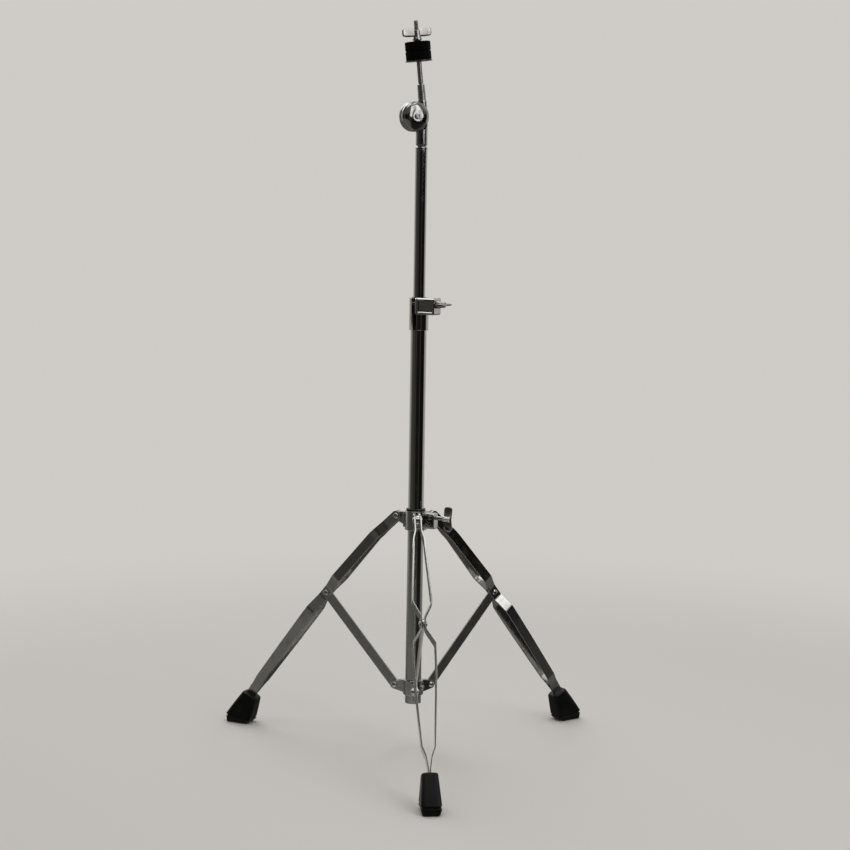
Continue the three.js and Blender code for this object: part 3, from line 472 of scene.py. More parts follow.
# Smudges and polishing lines each add their share to the roughness. A larger scale is a finer mark.
metalColumns = ["colour", "smudged", "roughness", "smudgeRoughness", "lineRoughness", "cloudScale",
                "lineScale", "bump"]
metalRows = {
    "tubeChrome": [(0.54, 0.532, 0.515), (0.50, 0.49, 0.47), 0.05, 0.08, 0.03, 34.0, (1400, 1400, 14), 0.02],
    "castChrome": [(0.56, 0.55, 0.53), (0.50, 0.49, 0.47), 0.07, 0.10, 0.03, 75.0, (700,) * 3, 0.03],
    "boltChrome": [(0.50, 0.49, 0.47), (0.40, 0.39, 0.37), 0.20, 0.12, 0.04, 110.0, (900,) * 3, 0.04],
    "tilterChrome": [(0.42, 0.41, 0.395), (0.3, 0.29, 0.275), 0.07, 0.16, 0.05, 120.0, (260, 260, 900), 0.10],
    "shadedChrome": [(0.34, 0.332, 0.315), (0.27, 0.26, 0.245), 0.12, 0.10, 0.04, 110.0, (900,) * 3, 0.04],
    "rodChrome": [(0.40, 0.39, 0.37), (0.33, 0.32, 0.30), 0.26, 0.12, 0.08, 120.0, (1200, 1200, 60), 0.05],
    # The seat washer's colour is painted far darker than steel: a painted dark reflection of the room round
    # it.
    "washerPaintedDark": [(0.085, 0.082, 0.078), (0.06, 0.058, 0.055), 0.38, 0.12, 0.08, 90.0, (800,) * 3, 0.05],
    "stripChrome": [(0.52, 0.512, 0.495), (0.45, 0.44, 0.42), 0.12, 0.12, 0.06, 42.0, (520, 520, 90), 0.06],
    "braceChrome": [(0.50, 0.49, 0.465), (0.42, 0.41, 0.385), 0.26, 0.12, 0.10, 46.0, (420, 420, 160), 0.12],
    "rivetSteel": [(0.62, 0.61, 0.58), (0.50, 0.49, 0.46), 0.12, 0.14, 0.08, 240.0, (2200,) * 3, 0.08],
}
metal = {name: platedMetal(name, dict(zip(metalColumns, row))) for name, row in metalRows.items()}
footRubber = mouldedBlack("footRubber", {
    "colour": (0.0032, 0.0032, 0.0035), "lighter": (0.006, 0.0058, 0.0058), "dust": (0.025, 0.022, 0.02),
    "roughness": 0.40, "roughnessRange": 0.16, "grainScale": 1500.0, "toneScale": 48.0, "dustHeight": 0.012,
    "bump": 0.2, "gloss": 0.3})
blackNylon = mouldedBlack("blackNylon", {
    "colour": (0.013, 0.013, 0.014), "lighter": (0.020, 0.020, 0.021), "dust": (0.02, 0.02, 0.02),
    "roughness": 0.30, "roughnessRange": 0.12, "grainScale": 2600.0, "toneScale": 90.0, "dustHeight": 0.001,
    "bump": 0.10, "gloss": 0.4})
woolFelt = pressedFelt("woolFelt", {
    "colour": (0.0018, 0.0018, 0.002), "lighter": (0.006, 0.0058, 0.006), "clumpScale": 900.0,
    "fibreScale": 420.0, "bump": 0.7, "sheen": 0.02})
print("stage: materials done")


tubes = {"baseOuter": 12.7, "baseWall": 1.2, "baseBottom": 74, "baseTop": 720, "slotWidth": 2.6,
         "slotLength": 38, "upperOuter": 9.525, "upperWall": 1.2, "upperBottom": 393.9, "upperTop": 953.9,
         "edge": 0.35, "clampYaw": -32}
clampFrame, slotFrame = (turned(columnFrame, tubes["clampYaw"] + a) for a in (0, 90))


def tubeWall(d, tube):
    outer = d[tube + "Outer"]
    return sleeve(outer - d[tube + "Wall"], outer, d[tube + "Bottom"], d[tube + "Top"], d["edge"], fineTurns)


def makeTubes(d):
    slot = sharpCut(boxOutline(-d["baseOuter"] - 2, 0, -d["slotWidth"] / 2, d["slotWidth"] / 2),
                    d["baseTop"] - d["slotLength"], d["baseTop"] + overrun)
    base = fused("baseTube", (tubeWall(d, "base"), columnFrame), cuts=[(slot, slotFrame)])
    finished(base, "base_column", "base_tube", metal["tubeChrome"])
    upper = newPiece("upperTube", tubeWall(d, "upper"), columnFrame)
    finished(upper, "upper_column", "upper_tube", metal["tubeChrome"])


makeTubes(tubes)

clamp = {"bore": 13.0, "radius": 15.4, "top": 724.9, "bottom": 673.6, "splitLeft": -0.1, "splitRight": 3.3,
         "cheek": 6, "cheekFoot": 4.4, "cheekSlope": 4.8, "reach": 24.8, "footReach": 20.5, "blockEnd": 38.8,
         "blockHeight": 26, "blockDepth": 24.6, "blockCorner": 5.2, "edge": 1.5, "topEdge": 1.9,
         "boltDrop": 9.8, "boltReach": 16.3, "boltHole": 3.3, "plaqueWidth": 26, "plaqueHeight": 19.5,
         "plaqueDepth": 1.5, "plaqueCorner": 1.4, "plaqueMargin": 2.4, "holeFrom": -50, "holeTo": 60}


def makeClamp(d):
    top, bottom, reach = d["top"], d["bottom"], d["reach"]
    low = top - d["blockHeight"]
    body = cylinder(d["radius"], bottom, top, 0.8, fineTurns)
    # the cheek's outer edge is rounded all the way down, and it thins towards its foot
    heights = np.concatenate([[bottom], np.linspace(bottom + 3, low + 4, 8), [top - 4, top]])
    share = np.clip((heights - bottom) / (low + 4 - bottom), 0, 1)
    share = share * share * (3 - 2 * share)
    outlines = []
    for part in share:
        thick = d["cheekFoot"] + (d["cheek"] - d["cheekFoot"]) * part
        out = d["footReach"] + (reach - d["footReach"]) * part
        left, slope = d["splitLeft"] - thick, d["cheekSlope"] * thick / d["cheek"]
        corners = [[left, slope - out], [left + slope * 0.35, slope * 0.42 - out], [d["splitLeft"], -out],
                   [d["splitLeft"], 0], [left, 0]]
        outlines.append(rounded(corners, [2.6, 1.6, 0.6, 0.1, 0.1], 5))
    cheek = raised(outlines, heights, 0.9)
    plan = rounded(boxOutline(d["splitRight"], d["blockEnd"], -reach, d["blockDepth"] - reach),
                   [d["blockCorner"], d["edge"], d["edge"], 0.1], 6)
    lug = raised([plan] * 4, [low, low + 3, top - 3, top], d["topEdge"], 1)
    middle, half = top - d["blockHeight"] / 2, d["plaqueHeight"] / 2
    right = d["blockEnd"] - d["plaqueMargin"]
    plaque = rounded(boxOutline(right - d["plaqueWidth"], right, middle - half, middle + half),
                     d["plaqueCorner"], 5)
    # sloping sides run round the bare recess
    recess = plate(plaque, -reach - overrun, -reach + d["plaqueDepth"], d["plaqueDepth"], 1)
    bore = cylinder(d["bore"], bottom - overrun, top + overrun, turns=fineTurns)
    split = sharpCut(boxOutline(d["splitLeft"], d["splitRight"], -reach - overrun, 0), bottom - overrun,
                     top + overrun)
    holeFrame = shifted(clampFrame, 0, -d["boltReach"], top - d["boltDrop"])
    cast = fused("heightClamp", (body, clampFrame), [(cheek, clampFrame), (lug, clampFrame)],
                 [(recess, reordered(clampFrame, 0, 2, 1)), (bore, clampFrame), (split, clampFrame),
                  (cylinder(d["boltHole"], d["holeFrom"], d["holeTo"]), reordered(holeFrame, 1, 2, 0))])
    finished(cast, "base_column", "height_clamp", metal["castChrome"])


makeClamp(clamp)

heightBolt = {"shaft": 3, "shaftStart": -42.9, "flange": 6, "flangeTop": 5.5, "hub": 5, "hubLength": 18,
              "reach": 17.5, "wingHeight": 14, "wingThickness": 4.2, "rise": 0.08, "neck": 0.9, "taper": 0.2,
              "gap": 0.3}


def makeHeightBolt(d):
    origin = shifted(clampFrame, clamp["blockEnd"], -clamp["boltReach"], clamp["top"] - clamp["boltDrop"])
    where = reordered(origin, 1, 2, 0)
    crown = d["hubLength"] - d["wingHeight"] / 6
    corners = stepped(d["shaftStart"], (d["shaft"], d["gap"]), (d["flange"], d["flangeTop"]))
    corners[-1:] = [[d["hub"], d["flangeTop"] + 1.5], [d["hub"] - 0.8, crown], [0, crown]]
    hub = turnedBar(corners, [0, 0.8, 0.05, 0.7, 1.0, 0.8, 1.4, 0])
    bolt = fused("heightWingBolt", (hub, where), wings(d, shifted(where, 0, 0, d["gap"])))
    finished(bolt, "height_wing_bolt", "height_wing_bolt", metal["shadedChrome"])


makeHeightBolt(heightBolt)

bushing = {"inner": 9.825, "outer": 11.2, "bottom": 680, "lip": 720.3, "lipTop": 722.3, "split": 2}


def makeClampBushing(d):
    lip = (tubes["baseOuter"], d["lipTop"])
    corners = stepped(d["bottom"], (d["outer"], d["lip"]), lip, inner=d["inner"])
    profile = rounded(corners, [0.3, 0.3, 0.1, 0.4, 0.6, 0.4], 3)
    split = sharpCut(boxOutline(0, tubes["baseOuter"] + 3, -d["split"] / 2, d["split"] / 2),
                     d["bottom"] - overrun, d["lipTop"] + overrun)
    liner = fused("clampBushing", (lathe(profile, True, 80), columnFrame), cuts=[(split, slotFrame)])
    finished(liner, "clamp_bushing", "clamp_bushing", blackNylon)


makeClampBushing(bushing)
print("stage: column done")


pivots = {"radius": 32.5, "upper": 376, "lower": 100, "middle": 238, "middleRadius": 158.5,
          "holeReach": 9}
collar = {"bore": 14.6, "outer": 17.4, "below": -20, "above": 10.5, "edge": 0.9, "lug": 7.4, "lugHalf": 3.25,
          "padHalf": 6.5, "padReach": 20, "padDrop": 3, "padTop": 1.2, "padSlope": 4.8, "bossAzimuth": -30,
          "bossReach": 35.2, "bossWidth": 17, "bossHeight": 25, "bossMiddle": -4, "bossCorner": 4,
          "bossEdge": 1.6, "boltLevel": 1, "boltHole": 3.3, "rivetHole": 2.8, "boreReach": 40, "holeFrom": 5,
          "holeTo": 60}
collarFrame = shifted(columnFrame, 0, 0, pivots["upper"])
bossFrame = turned(collarFrame, collar["bossAzimuth"])


def lugOutline(root, low, high, radius):
    # The tip is an arc with one flat on it, from 28 to 72 degrees.
    parts = ((-90, 28, 18), (72, 90, 4))
    tip = np.concatenate([arcPoints(pivots["radius"], 0, radius, *part) for part in parts])
    return np.concatenate([[[root, low]], tip, [[root, high]]])


def rivetHole(radius, leg):
    reach = pivots["holeReach"]
    return cylinder(radius, -reach, reach, turns=24), reordered(shifted(leg, pivots["radius"]), 2, 0, 1)


def makeUpperCollar(d):
    body = cylinder(d["outer"], d["below"], d["above"], d["edge"], fineTurns)
    adds, cuts = [], []
    root = d["bore"] + 1.2
    low, high, slope = d["below"] + d["padDrop"], d["above"] - d["padTop"], d["padSlope"]
    lug = lugOutline(root - 4, low, d["above"] - d["padDrop"], d["lug"])
    pad = rounded([[root - 4, low], [d["padReach"], low], [d["padReach"], high - slope * 0.84],
                   [d["padReach"] - slope, high], [root - 4, high]], [2.2, 2.2, 0.8, 0.6, 0.6], 4)
    for azimuth in legAzimuths:
        leg = turned(collarFrame, azimuth)
        adds.append((plate(lug, -d["lugHalf"], d["lugHalf"], 0.8, 3), reordered(leg, 0, 2, 1)))
        adds.append((plate(pad, -d["padHalf"], d["padHalf"], 1.6, 5), reordered(leg, 0, 2, 1)))
        cuts.append(rivetHole(d["rivetHole"], leg))
    half = d["bossHeight"] / 2
    face = rounded(boxOutline(-d["bossWidth"] / 2, d["bossWidth"] / 2, d["bossMiddle"] - half,
                              d["bossMiddle"] + half), d["bossCorner"], 6)
    adds.append((plate(face, root - 3, d["bossReach"], d["bossEdge"], 5), reordered(bossFrame, 1, 2, 0)))
    cuts.append((cylinder(d["bore"], -d["boreReach"], d["boreReach"], turns=fineTurns), collarFrame))
    cuts.append((cylinder(d["boltHole"], d["holeFrom"], d["holeTo"]),
                 reordered(shifted(bossFrame, 0, 0, d["boltLevel"]), 1, 2, 0)))
    cast = fused("upperLegCollar", (body, collarFrame), adds, cuts)
    finished(cast, "leg_collar", "upper_leg_collar", metal["castChrome"])


makeUpperCollar(collar)

collarBushing = {"inner": 13.0, "outer": 14.3, "flange": 15.4, "below": -20, "seat": 10.8, "top": 13.8}


def makeCollarBushing(d):
    corners = stepped(d["below"], (d["outer"], d["seat"]), (d["flange"], d["top"]), inner=d["inner"])
    profile = rounded(corners, [0.3, 0.3, 0.1, 0.5, 1.0, 0.5], 3)
    liner = newPiece("collarBushing", lathe(profile, True, 80), collarFrame)
    finished(liner, "leg_collar", "collar_bushing", blackNylon)


makeCollarBushing(collarBushing)

lockBolt = {"shaft": 3, "start": -20.6, "stand": 12.5, "hub": 4.9, "hubLength": 15, "reach": 19.5,
            "wingHeight": 13.5, "wingThickness": 4.2, "rise": 0.08, "neck": 0.88, "taper": 0.25,
            "square": 4.3, "squareTurn": -38}


def makeLockBolt(d):
    origin = shifted(bossFrame, collar["bossReach"], 0, collar["boltLevel"])
    where = reordered(origin, 2, 1, 0)
    crown = d["stand"] + d["hubLength"] - d["wingHeight"] / 6
    corners = stepped(d["start"], (d["shaft"], d["stand"]), (d["hub"], d["stand"] + 2.5))
    corners[-1:] = [[d["hub"] - 0.8, crown], [0, crown]]
    hub = turnedBar(corners, [0, 0.8, 0.1, 0.6, 1.0, 1.6, 0])
    side = d["square"]
    block = plate(rounded(boxOutline(-side, side, -side, side), 1.1, 4), d["stand"] + 0.6, crown, 0.9, 4)
    bolt = fused("collarLockBolt", (hub, where), [(block, turned(where, d["squareTurn"])),
                                                  *wings(d, shifted(where, 0, 0, d["stand"]))])
    finished(bolt, "collar_lock_bolt", "collar_lock_bolt", metal["castChrome"])


makeLockBolt(lockBolt)

lowerCollar = {"bore": 13.0, "outer": 16.2, "below": -12, "above": 12, "edge": 0.8, "ear": 7,
               "earRoot": 11, "earInner": 1.95, "earOuter": 4.55, "slotStart": 20.5, "slotReach": 20,
               "screwAzimuth": -30, "screwHole": 2.5, "rivetHole": 2.8, "boreReach": 40, "holeFrom": 5,
               "holeTo": 30}
lowerFrame = shifted(columnFrame, 0, 0, pivots["lower"])
screwFrame = reordered(turned(lowerFrame, lowerCollar["screwAzimuth"]), 1, 2, 0)


def makeLowerCollar(d):
    reach = d["slotReach"]
    body = cylinder(d["outer"], d["below"], d["above"], d["edge"], fineTurns)
    adds, cuts = [], []
    ear = lugOutline(d["earRoot"], d["below"] + d["edge"], d["above"] - d["edge"], d["ear"])
    slot = sharpCut(boxOutline(d["slotStart"], pivots["radius"] + reach, -d["earInner"], d["earInner"]),
                    -reach, reach)
    for azimuth in legAzimuths:
        leg = turned(lowerFrame, azimuth)
        adds.append((plate(ear, -d["earOuter"], d["earOuter"], 0.8, 3), reordered(leg, 0, 2, 1)))
        cuts += [(slot, leg), rivetHole(d["rivetHole"], leg)]
    cuts.append((cylinder(d["bore"], -d["boreReach"], d["boreReach"], turns=fineTurns), lowerFrame))
    cuts.append((cylinder(d["screwHole"], d["holeFrom"], d["holeTo"]), screwFrame))
    cast = fused("lowerBraceCollar", (body, lowerFrame), adds, cuts)
    finished(cast, "base_column", "lower_brace_collar", metal["castChrome"])


makeLowerCollar(lowerCollar)

collarScrew = {"inner": 13.0, "radius": 2.2, "seat": 16.5, "head": 18.7, "headRadius": 3.8, "socket": 2.4,
               "socketDepth": 1.1}


def hexSocket(d, top):
    outline = arcPoints(0, 0, d["socket"], 0, 300, 6)
    return sharpCut(outline, top - d["socketDepth"], top + overrun)


def makeCollarScrew(d):
    corners = stepped(d["inner"], (d["radius"], d["seat"]), (d["headRadius"], d["head"]))
    shape = turnedBar(corners, [0, 0.3, 0.05, 0.2, 0.7, 0], 40)
    screw = fused("lowerCollarScrew", (shape, screwFrame), cuts=[(hexSocket(d, d["head"]), screwFrame)])
    finished(screw, "base_column", "lower_collar_screw", metal["rivetSteel"])


makeCollarScrew(collarScrew)

rivets = {"shaft": 2.5, "head": 4.7, "headHeight": 2.3, "lift": 0.3, "lugReach": 5.9, "pinchReach": 4.3,
          "earReach": 4.55}


def makeRivet(name, where, reach, body, node, d):
    # The head is a flattened dome: r = head * sin a, height = headHeight * cos a.
    a = np.linspace(8, 90, 9) * np.pi / 180
    dome = np.column_stack([d["head"] * np.sin(a), -(reach + d["lift"] + d["headHeight"] * np.cos(a))])
    under = -(reach + d["lift"] / 2)
    half = np.concatenate([dome, [[d["head"], under], [d["shaft"], under]]])
    profile = np.concatenate([half, (half * [1, -1])[::-1]])
    made = newPiece(name, lathe(profile, False, 32), reordered(where, 2, 0, 1))
    finished(made, body, node, metal["rivetSteel"])


for number, leg in enumerate(legFrames, 1):
    makeRivet(f"legRivet{number}", shifted(leg, pivots["radius"], 0, pivots["upper"]), rivets["lugReach"],
              "leg_collar", f"leg_rivet_{number}", rivets)
    makeRivet(f"braceRivet{number}", shifted(leg, pivots["radius"], 0, pivots["lower"]), rivets["earReach"],
              "base_column", f"brace_rivet_{number}", rivets)
    makeRivet(f"leg{number}MiddleRivet", shifted(leg, pivots["middleRadius"], 0, pivots["middle"]),
              rivets["pinchReach"], f"leg_{number}", f"leg_{number}_middle_rivet", rivets)
print("stage: collars and rivets done")


legStrip = {"halfWidth": 8, "halfThick": 1.1, "edge": 0.5, "bend": 2.6, "shoulder": 54, "bow": 4.2,
            "footRadius": 302, "footHeight": 49, "socket": 22}
# Half the outside spacing of the strips: from the middle pivot up, back from the collar pivot, from
# the middle pivot down, and up from the foot.
spacing = {"thigh": [[11, 4.3], [35, 15.7]], "thighEnd": 9.8, "neckBack": [[42, 9.8], [25, 5.9]],
           "shank": [[10, 4.3], [34, 18.3], [62, 18.0], [115, 15.9]],
           "footBack": [[40.3, 11], [26.3, 5.6], [6.3, 2.5]], "lug": 5.9, "tip": 2.5}


def legStations(d, s):
    # Points of the strip's centre line in the leg's plane, with the outside half spacing.
    middle = np.array([pivots["middleRadius"], pivots["middle"]])
    top = np.array([pivots["radius"], pivots["upper"]])
    foot = np.array([d["footRadius"], d["footHeight"]])
    link = np.linalg.norm(top - middle)
    straight = (top - middle) / link
    outwardSide = np.array([straight[1], -straight[0]])
    shoulder = middle + straight * (link - d["shoulder"]) + outwardSide * d["bow"]
    thigh, neck = shoulder - middle, top - shoulder
    thighLength, neckLength = np.linalg.norm(thigh), np.linalg.norm(neck)
    thigh, neck = thigh / thighLength, neck / neckLength
    shank = foot - middle
    shankLength = np.linalg.norm(shank)
    shank = shank / shankLength
    rows = [[*(foot + shank * d["socket"]), s["tip"]]]
    rows += [[*(foot - shank * back), y] for back, y in reversed(s["footBack"])]
    rows += [[*(middle + shank * out), y] for out, y in reversed(s["shank"])]
    rows += [[*(middle + thigh * out), y] for out, y in s["thigh"]]
    rows += [[*shoulder, s["thighEnd"]]]
    rows += [[*(top - neck * back), y] for back, y in s["neckBack"]]
    rows += [[*top, s["lug"]]]
    return np.array(rows), neck


def makeStrip(name, leg, side, node, body, d, s):
    rows, neck = legStations(d, s)
    rows[:, 2] -= d["halfThick"]
    path = rounded(rows, d["bend"], 4, closed=False, support=1.2)
    # the end beyond the collar pivot is a half circle: half width w * cos a at distance w * sin a
    a = np.radians(np.linspace(0, 87, 14))[1:]
    end = np.column_stack([path[-1, 0] + neck[0] * d["halfWidth"] * np.sin(a),
                           path[-1, 1] + neck[1] * d["halfWidth"] * np.sin(a), np.full(len(a), path[-1, 2])])
    width = np.concatenate([np.full(len(path), d["halfWidth"]), d["halfWidth"] * np.cos(a)])
    path = np.concatenate([path, end])
    flat = np.gradient(path[:, :2], axis=0)
    flat /= np.linalg.norm(flat, axis=1)[:, None]
    flat[-len(a) - 1:] = neck
    across = np.column_stack([-flat[:, 1], np.zeros(len(flat)), flat[:, 0]])
    centre = np.column_stack([path[:, 0], side * path[:, 2], path[:, 1]])
    made = newPiece(name, ribbon(centre, across, width, d["halfThick"], d["edge"], 3), leg)
    finished(made, body, node, metal["stripChrome"])


for number, leg in enumerate(legFrames, 1):
    for label, side in (("left", 1), ("right", -1)):
        makeStrip(f"leg{number}{label.capitalize()}Strip", leg, side, f"leg_{number}_{label}_strip",
                  f"leg_{number}", legStrip, spacing)


brace = {"halfWidth": 8, "halfThick": 1.5, "edge": 0.5}


def makeBrace(name, leg, node, body, d):
    low = np.array([pivots["radius"], 0, pivots["lower"]])
    high = np.array([pivots["middleRadius"], 0, pivots["middle"]])
    length = np.linalg.norm(high - low)
    along = (high - low) / length
    a = np.radians(np.linspace(0, 87, 14))
    ends, plain = d["halfWidth"] * np.sin(a), np.linspace(0, length, 12)[1:-1]
    distance = np.concatenate([-ends[::-1], plain, length + ends])
    width = d["halfWidth"] * np.concatenate([np.cos(a)[::-1], np.ones(len(plain)), np.cos(a)])
    path = low + distance[:, None] * along
    across = np.broadcast_to([-along[2], 0, along[0]], path.shape)
    made = newPiece(name, ribbon(path, across, width, d["halfThick"], d["edge"], 3), leg)
    finished(made, body, node, metal["braceChrome"])


for number, leg in enumerate(legFrames, 1):
    makeBrace(f"brace{number}", leg, f"brace_{number}", f"brace_{number}", brace)


foot = {
    "entry": 302, "corner": 6.0, "steps": 9,
    # height, inner and outer side from the entry, width, and rise per millimetre outward
    "rings": [
        [0.0, 1.2, 39.8, 24.1, 0], [0.25, 0.7, 40.3, 25.1, 0], [0.9, 0.1, 40.9, 26.3, 0],
        [1.2, 0.0, 41.0, 26.5, 0], [7.2, -5.0, 40.6, 30.4, 0.06], [7.8, -5.4, 40.5, 31.0, 0.08],
        [8.1, -5.45, 40.4, 30.9, 0.09], [8.4, -5.1, 39.9, 30.1, 0.1], [8.7, -4.5, 39.3, 29.0, 0.1],
        [9.0, -4.3, 39.2, 28.7, 0.1], [11.0, -4.3, 39.2, 28.7, 0.1], [11.4, -4.5, 39.4, 29.1, 0.1],
        [11.8, -5.1, 40.0, 30.2, 0.1], [12.2, -5.45, 40.4, 30.9, 0.1], [12.6, -5.5, 40.5, 31.0, 0.1],
        [13.4, -5.7, 39.8, 30.8, 0.11], [24.0, -8.6, 31.0, 28.8, 0.21], [36.0, -11.8, 21.0, 26.5, 0.33],
        [47.2, -14.8, 11.6, 24.4, 0.43], [48.2, -15.0, 10.9, 24.0, 0.44], [49.1, -14.7, 10.2, 23.1, 0.44],
        [49.8, -14.0, 9.3, 21.9, 0.44], [50.3, -13.0, 8.2, 20.2, 0.44], [50.45, -11.8, 7.0, 18.4, 0.44],
        [50.45, -11.4, 6.6, 17.8, 0.44]]}


def makeFoot(name, leg, node, body, d):
    # Rounded rectangles stacked from the flat sole to the leaning rim.
    z, x0, x1, width, lean = np.array(d["rings"]).T
    corner = np.minimum(d["corner"], 0.42 * width)
    angle = np.radians(np.add.outer(np.arange(4) * 90, np.linspace(0, 90, d["steps"]))).ravel()
    signX, signY = np.repeat([1, -1, -1, 1], d["steps"]), np.repeat([1, 1, -1, -1], d["steps"])
    middle, half = (x0 + x1) / 2, (x1 - x0) / 2
    x = signX * (half - corner)[:, None] + corner[:, None] * np.cos(angle)
    y = signY * (width / 2 - corner)[:, None] + corner[:, None] * np.sin(angle)
    rings = np.stack([x + middle[:, None] + d["entry"], y, z[:, None] + lean[:, None] * x], axis=2)
    made = newPiece(name, (rings, False), leg)
    finished(made, body, node, footRubber, math.radians(50))


for number, leg in enumerate(legFrames, 1):
    makeFoot(f"leg{number}Foot", leg, f"leg_{number}_foot", f"leg_{number}", foot)
print("stage: legs done")


tilter = {"yaw": -67, "height": 1004.4, "offset": 13.8, "radius": 23.3, "seam": 0.9, "half": 13, "face": 7,
          "stem": 9.2, "stemFoot": -50.2, "spigot": 8.025, "spigotLength": 20, "seat": 9.525, "groove": 1.6,
          "grooveHeight": 3, "bore": 4.3, "washer": 17, "washerHalf": 0.6, "lean": 6.3, "boss": 6.8,
          "bossTop": 24.7, "rodOffset": 16.4, "rodSocket": 4.5, "rodSocketFoot": 20.2, "footRadius": 6.2,
          "dish": 0.035, "dishAt": 0.42, "dishWidth": 0.11, "clearance": 0.3, "clearReach": 20,
          "boreReach": 30}
pivotFrame = shifted(turned(columnFrame, tilter["yaw"] + 90), -tilter["offset"], 0, tilter["height"])
pivotFrame = reordered(pivotFrame, 0, 2, 1)
pivotFrame = (pivotFrame[0], pivotFrame[1] * np.array([[1], [1], [-1]]))
headFrame = turned(pivotFrame, tilter["lean"])


def domeShell(d, side):
    # The edge of the half is r = face + (radius - face) cos a, height = start + (half - start) sin a.
    rim = d["radius"] / 12
    start = d["seam"] + 2 * rim
    a = np.linspace(0, np.pi / 2, 32)
    step = 1 - d["dish"] * np.exp(-((a - d["dishAt"]) / d["dishWidth"]) ** 2)
    curve = np.column_stack([d["face"] + (d["radius"] - d["face"]) * np.cos(a) * step,
                             start + (d["half"] - start) * np.sin(a) * step])
    profile = np.concatenate([[[d["radius"] - rim / 2 - 0.6, d["seam"]], [d["radius"] - rim / 2, d["seam"]],
                               [d["radius"] - 0.3, d["seam"] + rim / 4], [d["radius"], d["seam"] + rim / 2]],
                              curve, [[d["face"] - 0.5, d["half"]], [1, d["half"]]]])
    return lathe(profile * [1, side], False, fineTurns)


def tilterBore(d):
    return cylinder(d["bore"], -d["boreReach"], d["boreReach"])


def makeTilterBase(d):
    foot = d["stemFoot"]
    g, h = d["groove"], d["grooveHeight"]
    corners = stepped(foot - d["spigotLength"], (d["spigot"], foot), (d["seat"], foot + h))
    corners[-1:] = [[d["stem"] - g, foot + h + 2.1], [d["stem"] - g, foot + h + 3.1],
                    [d["stem"], foot + 2.5 * h], [d["stem"], 0], [0, 0]]
    stem = turnedBar(corners, [0, 0.8, 0.05, 0.4, 0.3, 0.3, 0.3, 0.5, 0.1, 0], 64)
    clear = cylinder(d["radius"] + d["clearance"], -d["seam"], d["clearReach"], 0.05, fineTurns)
    stemFrame = reordered(shifted(pivotFrame, d["offset"]), 2, 0, 1)
    cast = fused("tilterBase", (domeShell(d, -1), pivotFrame), [(stem, stemFrame)],
                 [(clear, pivotFrame), (tilterBore(d), pivotFrame)])
    finished(cast, "upper_column", "tilter_base", metal["tilterChrome"])


def makeTilterHead(d):
    top = d["bossTop"]
    boss = turnedBar([[0, 0], [d["boss"], 0], [d["boss"], top - 3.3], [d["footRadius"], top], [0, top]],
                     [0, 0.1, 0.8, 0.3, 0], 56)
    clear = cylinder(d["radius"] + d["clearance"], -d["clearReach"], d["seam"], 0.05, fineTurns)
    socket = cylinder(d["rodSocket"], d["rodSocketFoot"], 30, turns=40)
    bossFrame = reordered(shifted(headFrame, d["rodOffset"]), 2, 0, 1)
    cast = fused("tilterHead", (domeShell(d, 1), headFrame), [(boss, bossFrame)],
                 [(clear, headFrame), (tilterBore(d), headFrame), (socket, bossFrame)])
    finished(cast, "cymbal_arm", "tilter_head", metal["tilterChrome"])


makeTilterBase(tilter)
makeTilterHead(tilter)


def makeFrictionWasher(d):
    shape = sleeve(d["bore"], d["washer"], -d["washerHalf"], d["washerHalf"], 0.2)
    ring = newPiece("tilterFrictionWasher", shape, pivotFrame)
    finished(ring, "upper_column", "tilter_friction_washer", blackNylon)


makeFrictionWasher(tilter)

tilterBolt = {"radius": 4, "end": -24.5, "seat": 13.3, "head": 4.8, "headTop": 15.9, "socket": 2.4,
              "socketDepth": 1.3}


def makeTilterBolt(d):
    corners = stepped(d["end"], (d["radius"], d["seat"]), (d["head"], d["headTop"]))
    shape = turnedBar(corners, [0, 0.8, 0.05, 0.2, 1.1, 0])
    bolt = fused("tilterBolt", (shape, pivotFrame), cuts=[(hexSocket(d, d["headTop"]), pivotFrame)])
    finished(bolt, "upper_column", "tilter_bolt", metal["boltChrome"])


makeTilterBolt(tilterBolt)

tilterNut = {"hub": 6.4, "hubLength": 14, "reach": 19, "wingHeight": 10.5, "wingThickness": 4.2, "rise": 0.1,
             "neck": 0.85, "taper": 0.25, "bore": 4.3, "seat": -13.3}


def wingNut(name, where, d, foot, turn):
    crown = d["hubLength"] - d["wingHeight"] / 6
    base = d["hubLength"] - d["wingHeight"]
    corners = [[0, 0], [foot, 0], [foot, base / 2], [d["hub"], base], [d["hub"] - 1, crown], [0, crown]]
    hub = turnedBar(corners, [0, 0.5, 0.7, 0.8, 1.0, 0], 56)
    return fused(name, (hub, where), wings(d, turned(where, turn)), [(cylinder(d["bore"], -5, 40), where)])


def makeTilterNut(d):
    origin, axes = shifted(pivotFrame, 0, 0, d["seat"])
    where = (origin, axes * np.array([[1], [-1], [-1]]))
    nut = wingNut("tilterWingNut", where, d, d["hub"], 90)
    finished(nut, "tilter_wing_nut", "tilter_wing_nut", metal["boltChrome"])


makeTilterNut(tilterNut)
print("stage: tilter done")


seatOrigin, seatAxes = shifted(headFrame, tilter["rodOffset"])
seatFrame = (seatOrigin, np.array([seatAxes[0], -seatAxes[2], seatAxes[1]]))
rod = {"spigot": 4.2, "spigotEnd": 20.5, "bossTop": 25, "footRadius": 6.2, "thick": 5.7, "thickTop": 47.5,
       "radius": 4, "chamfer": 1.7, "seat": 83, "threadRadius": 3.5, "threadDepth": 0.55, "pitch": 1.25,
       "tip": 145.1}


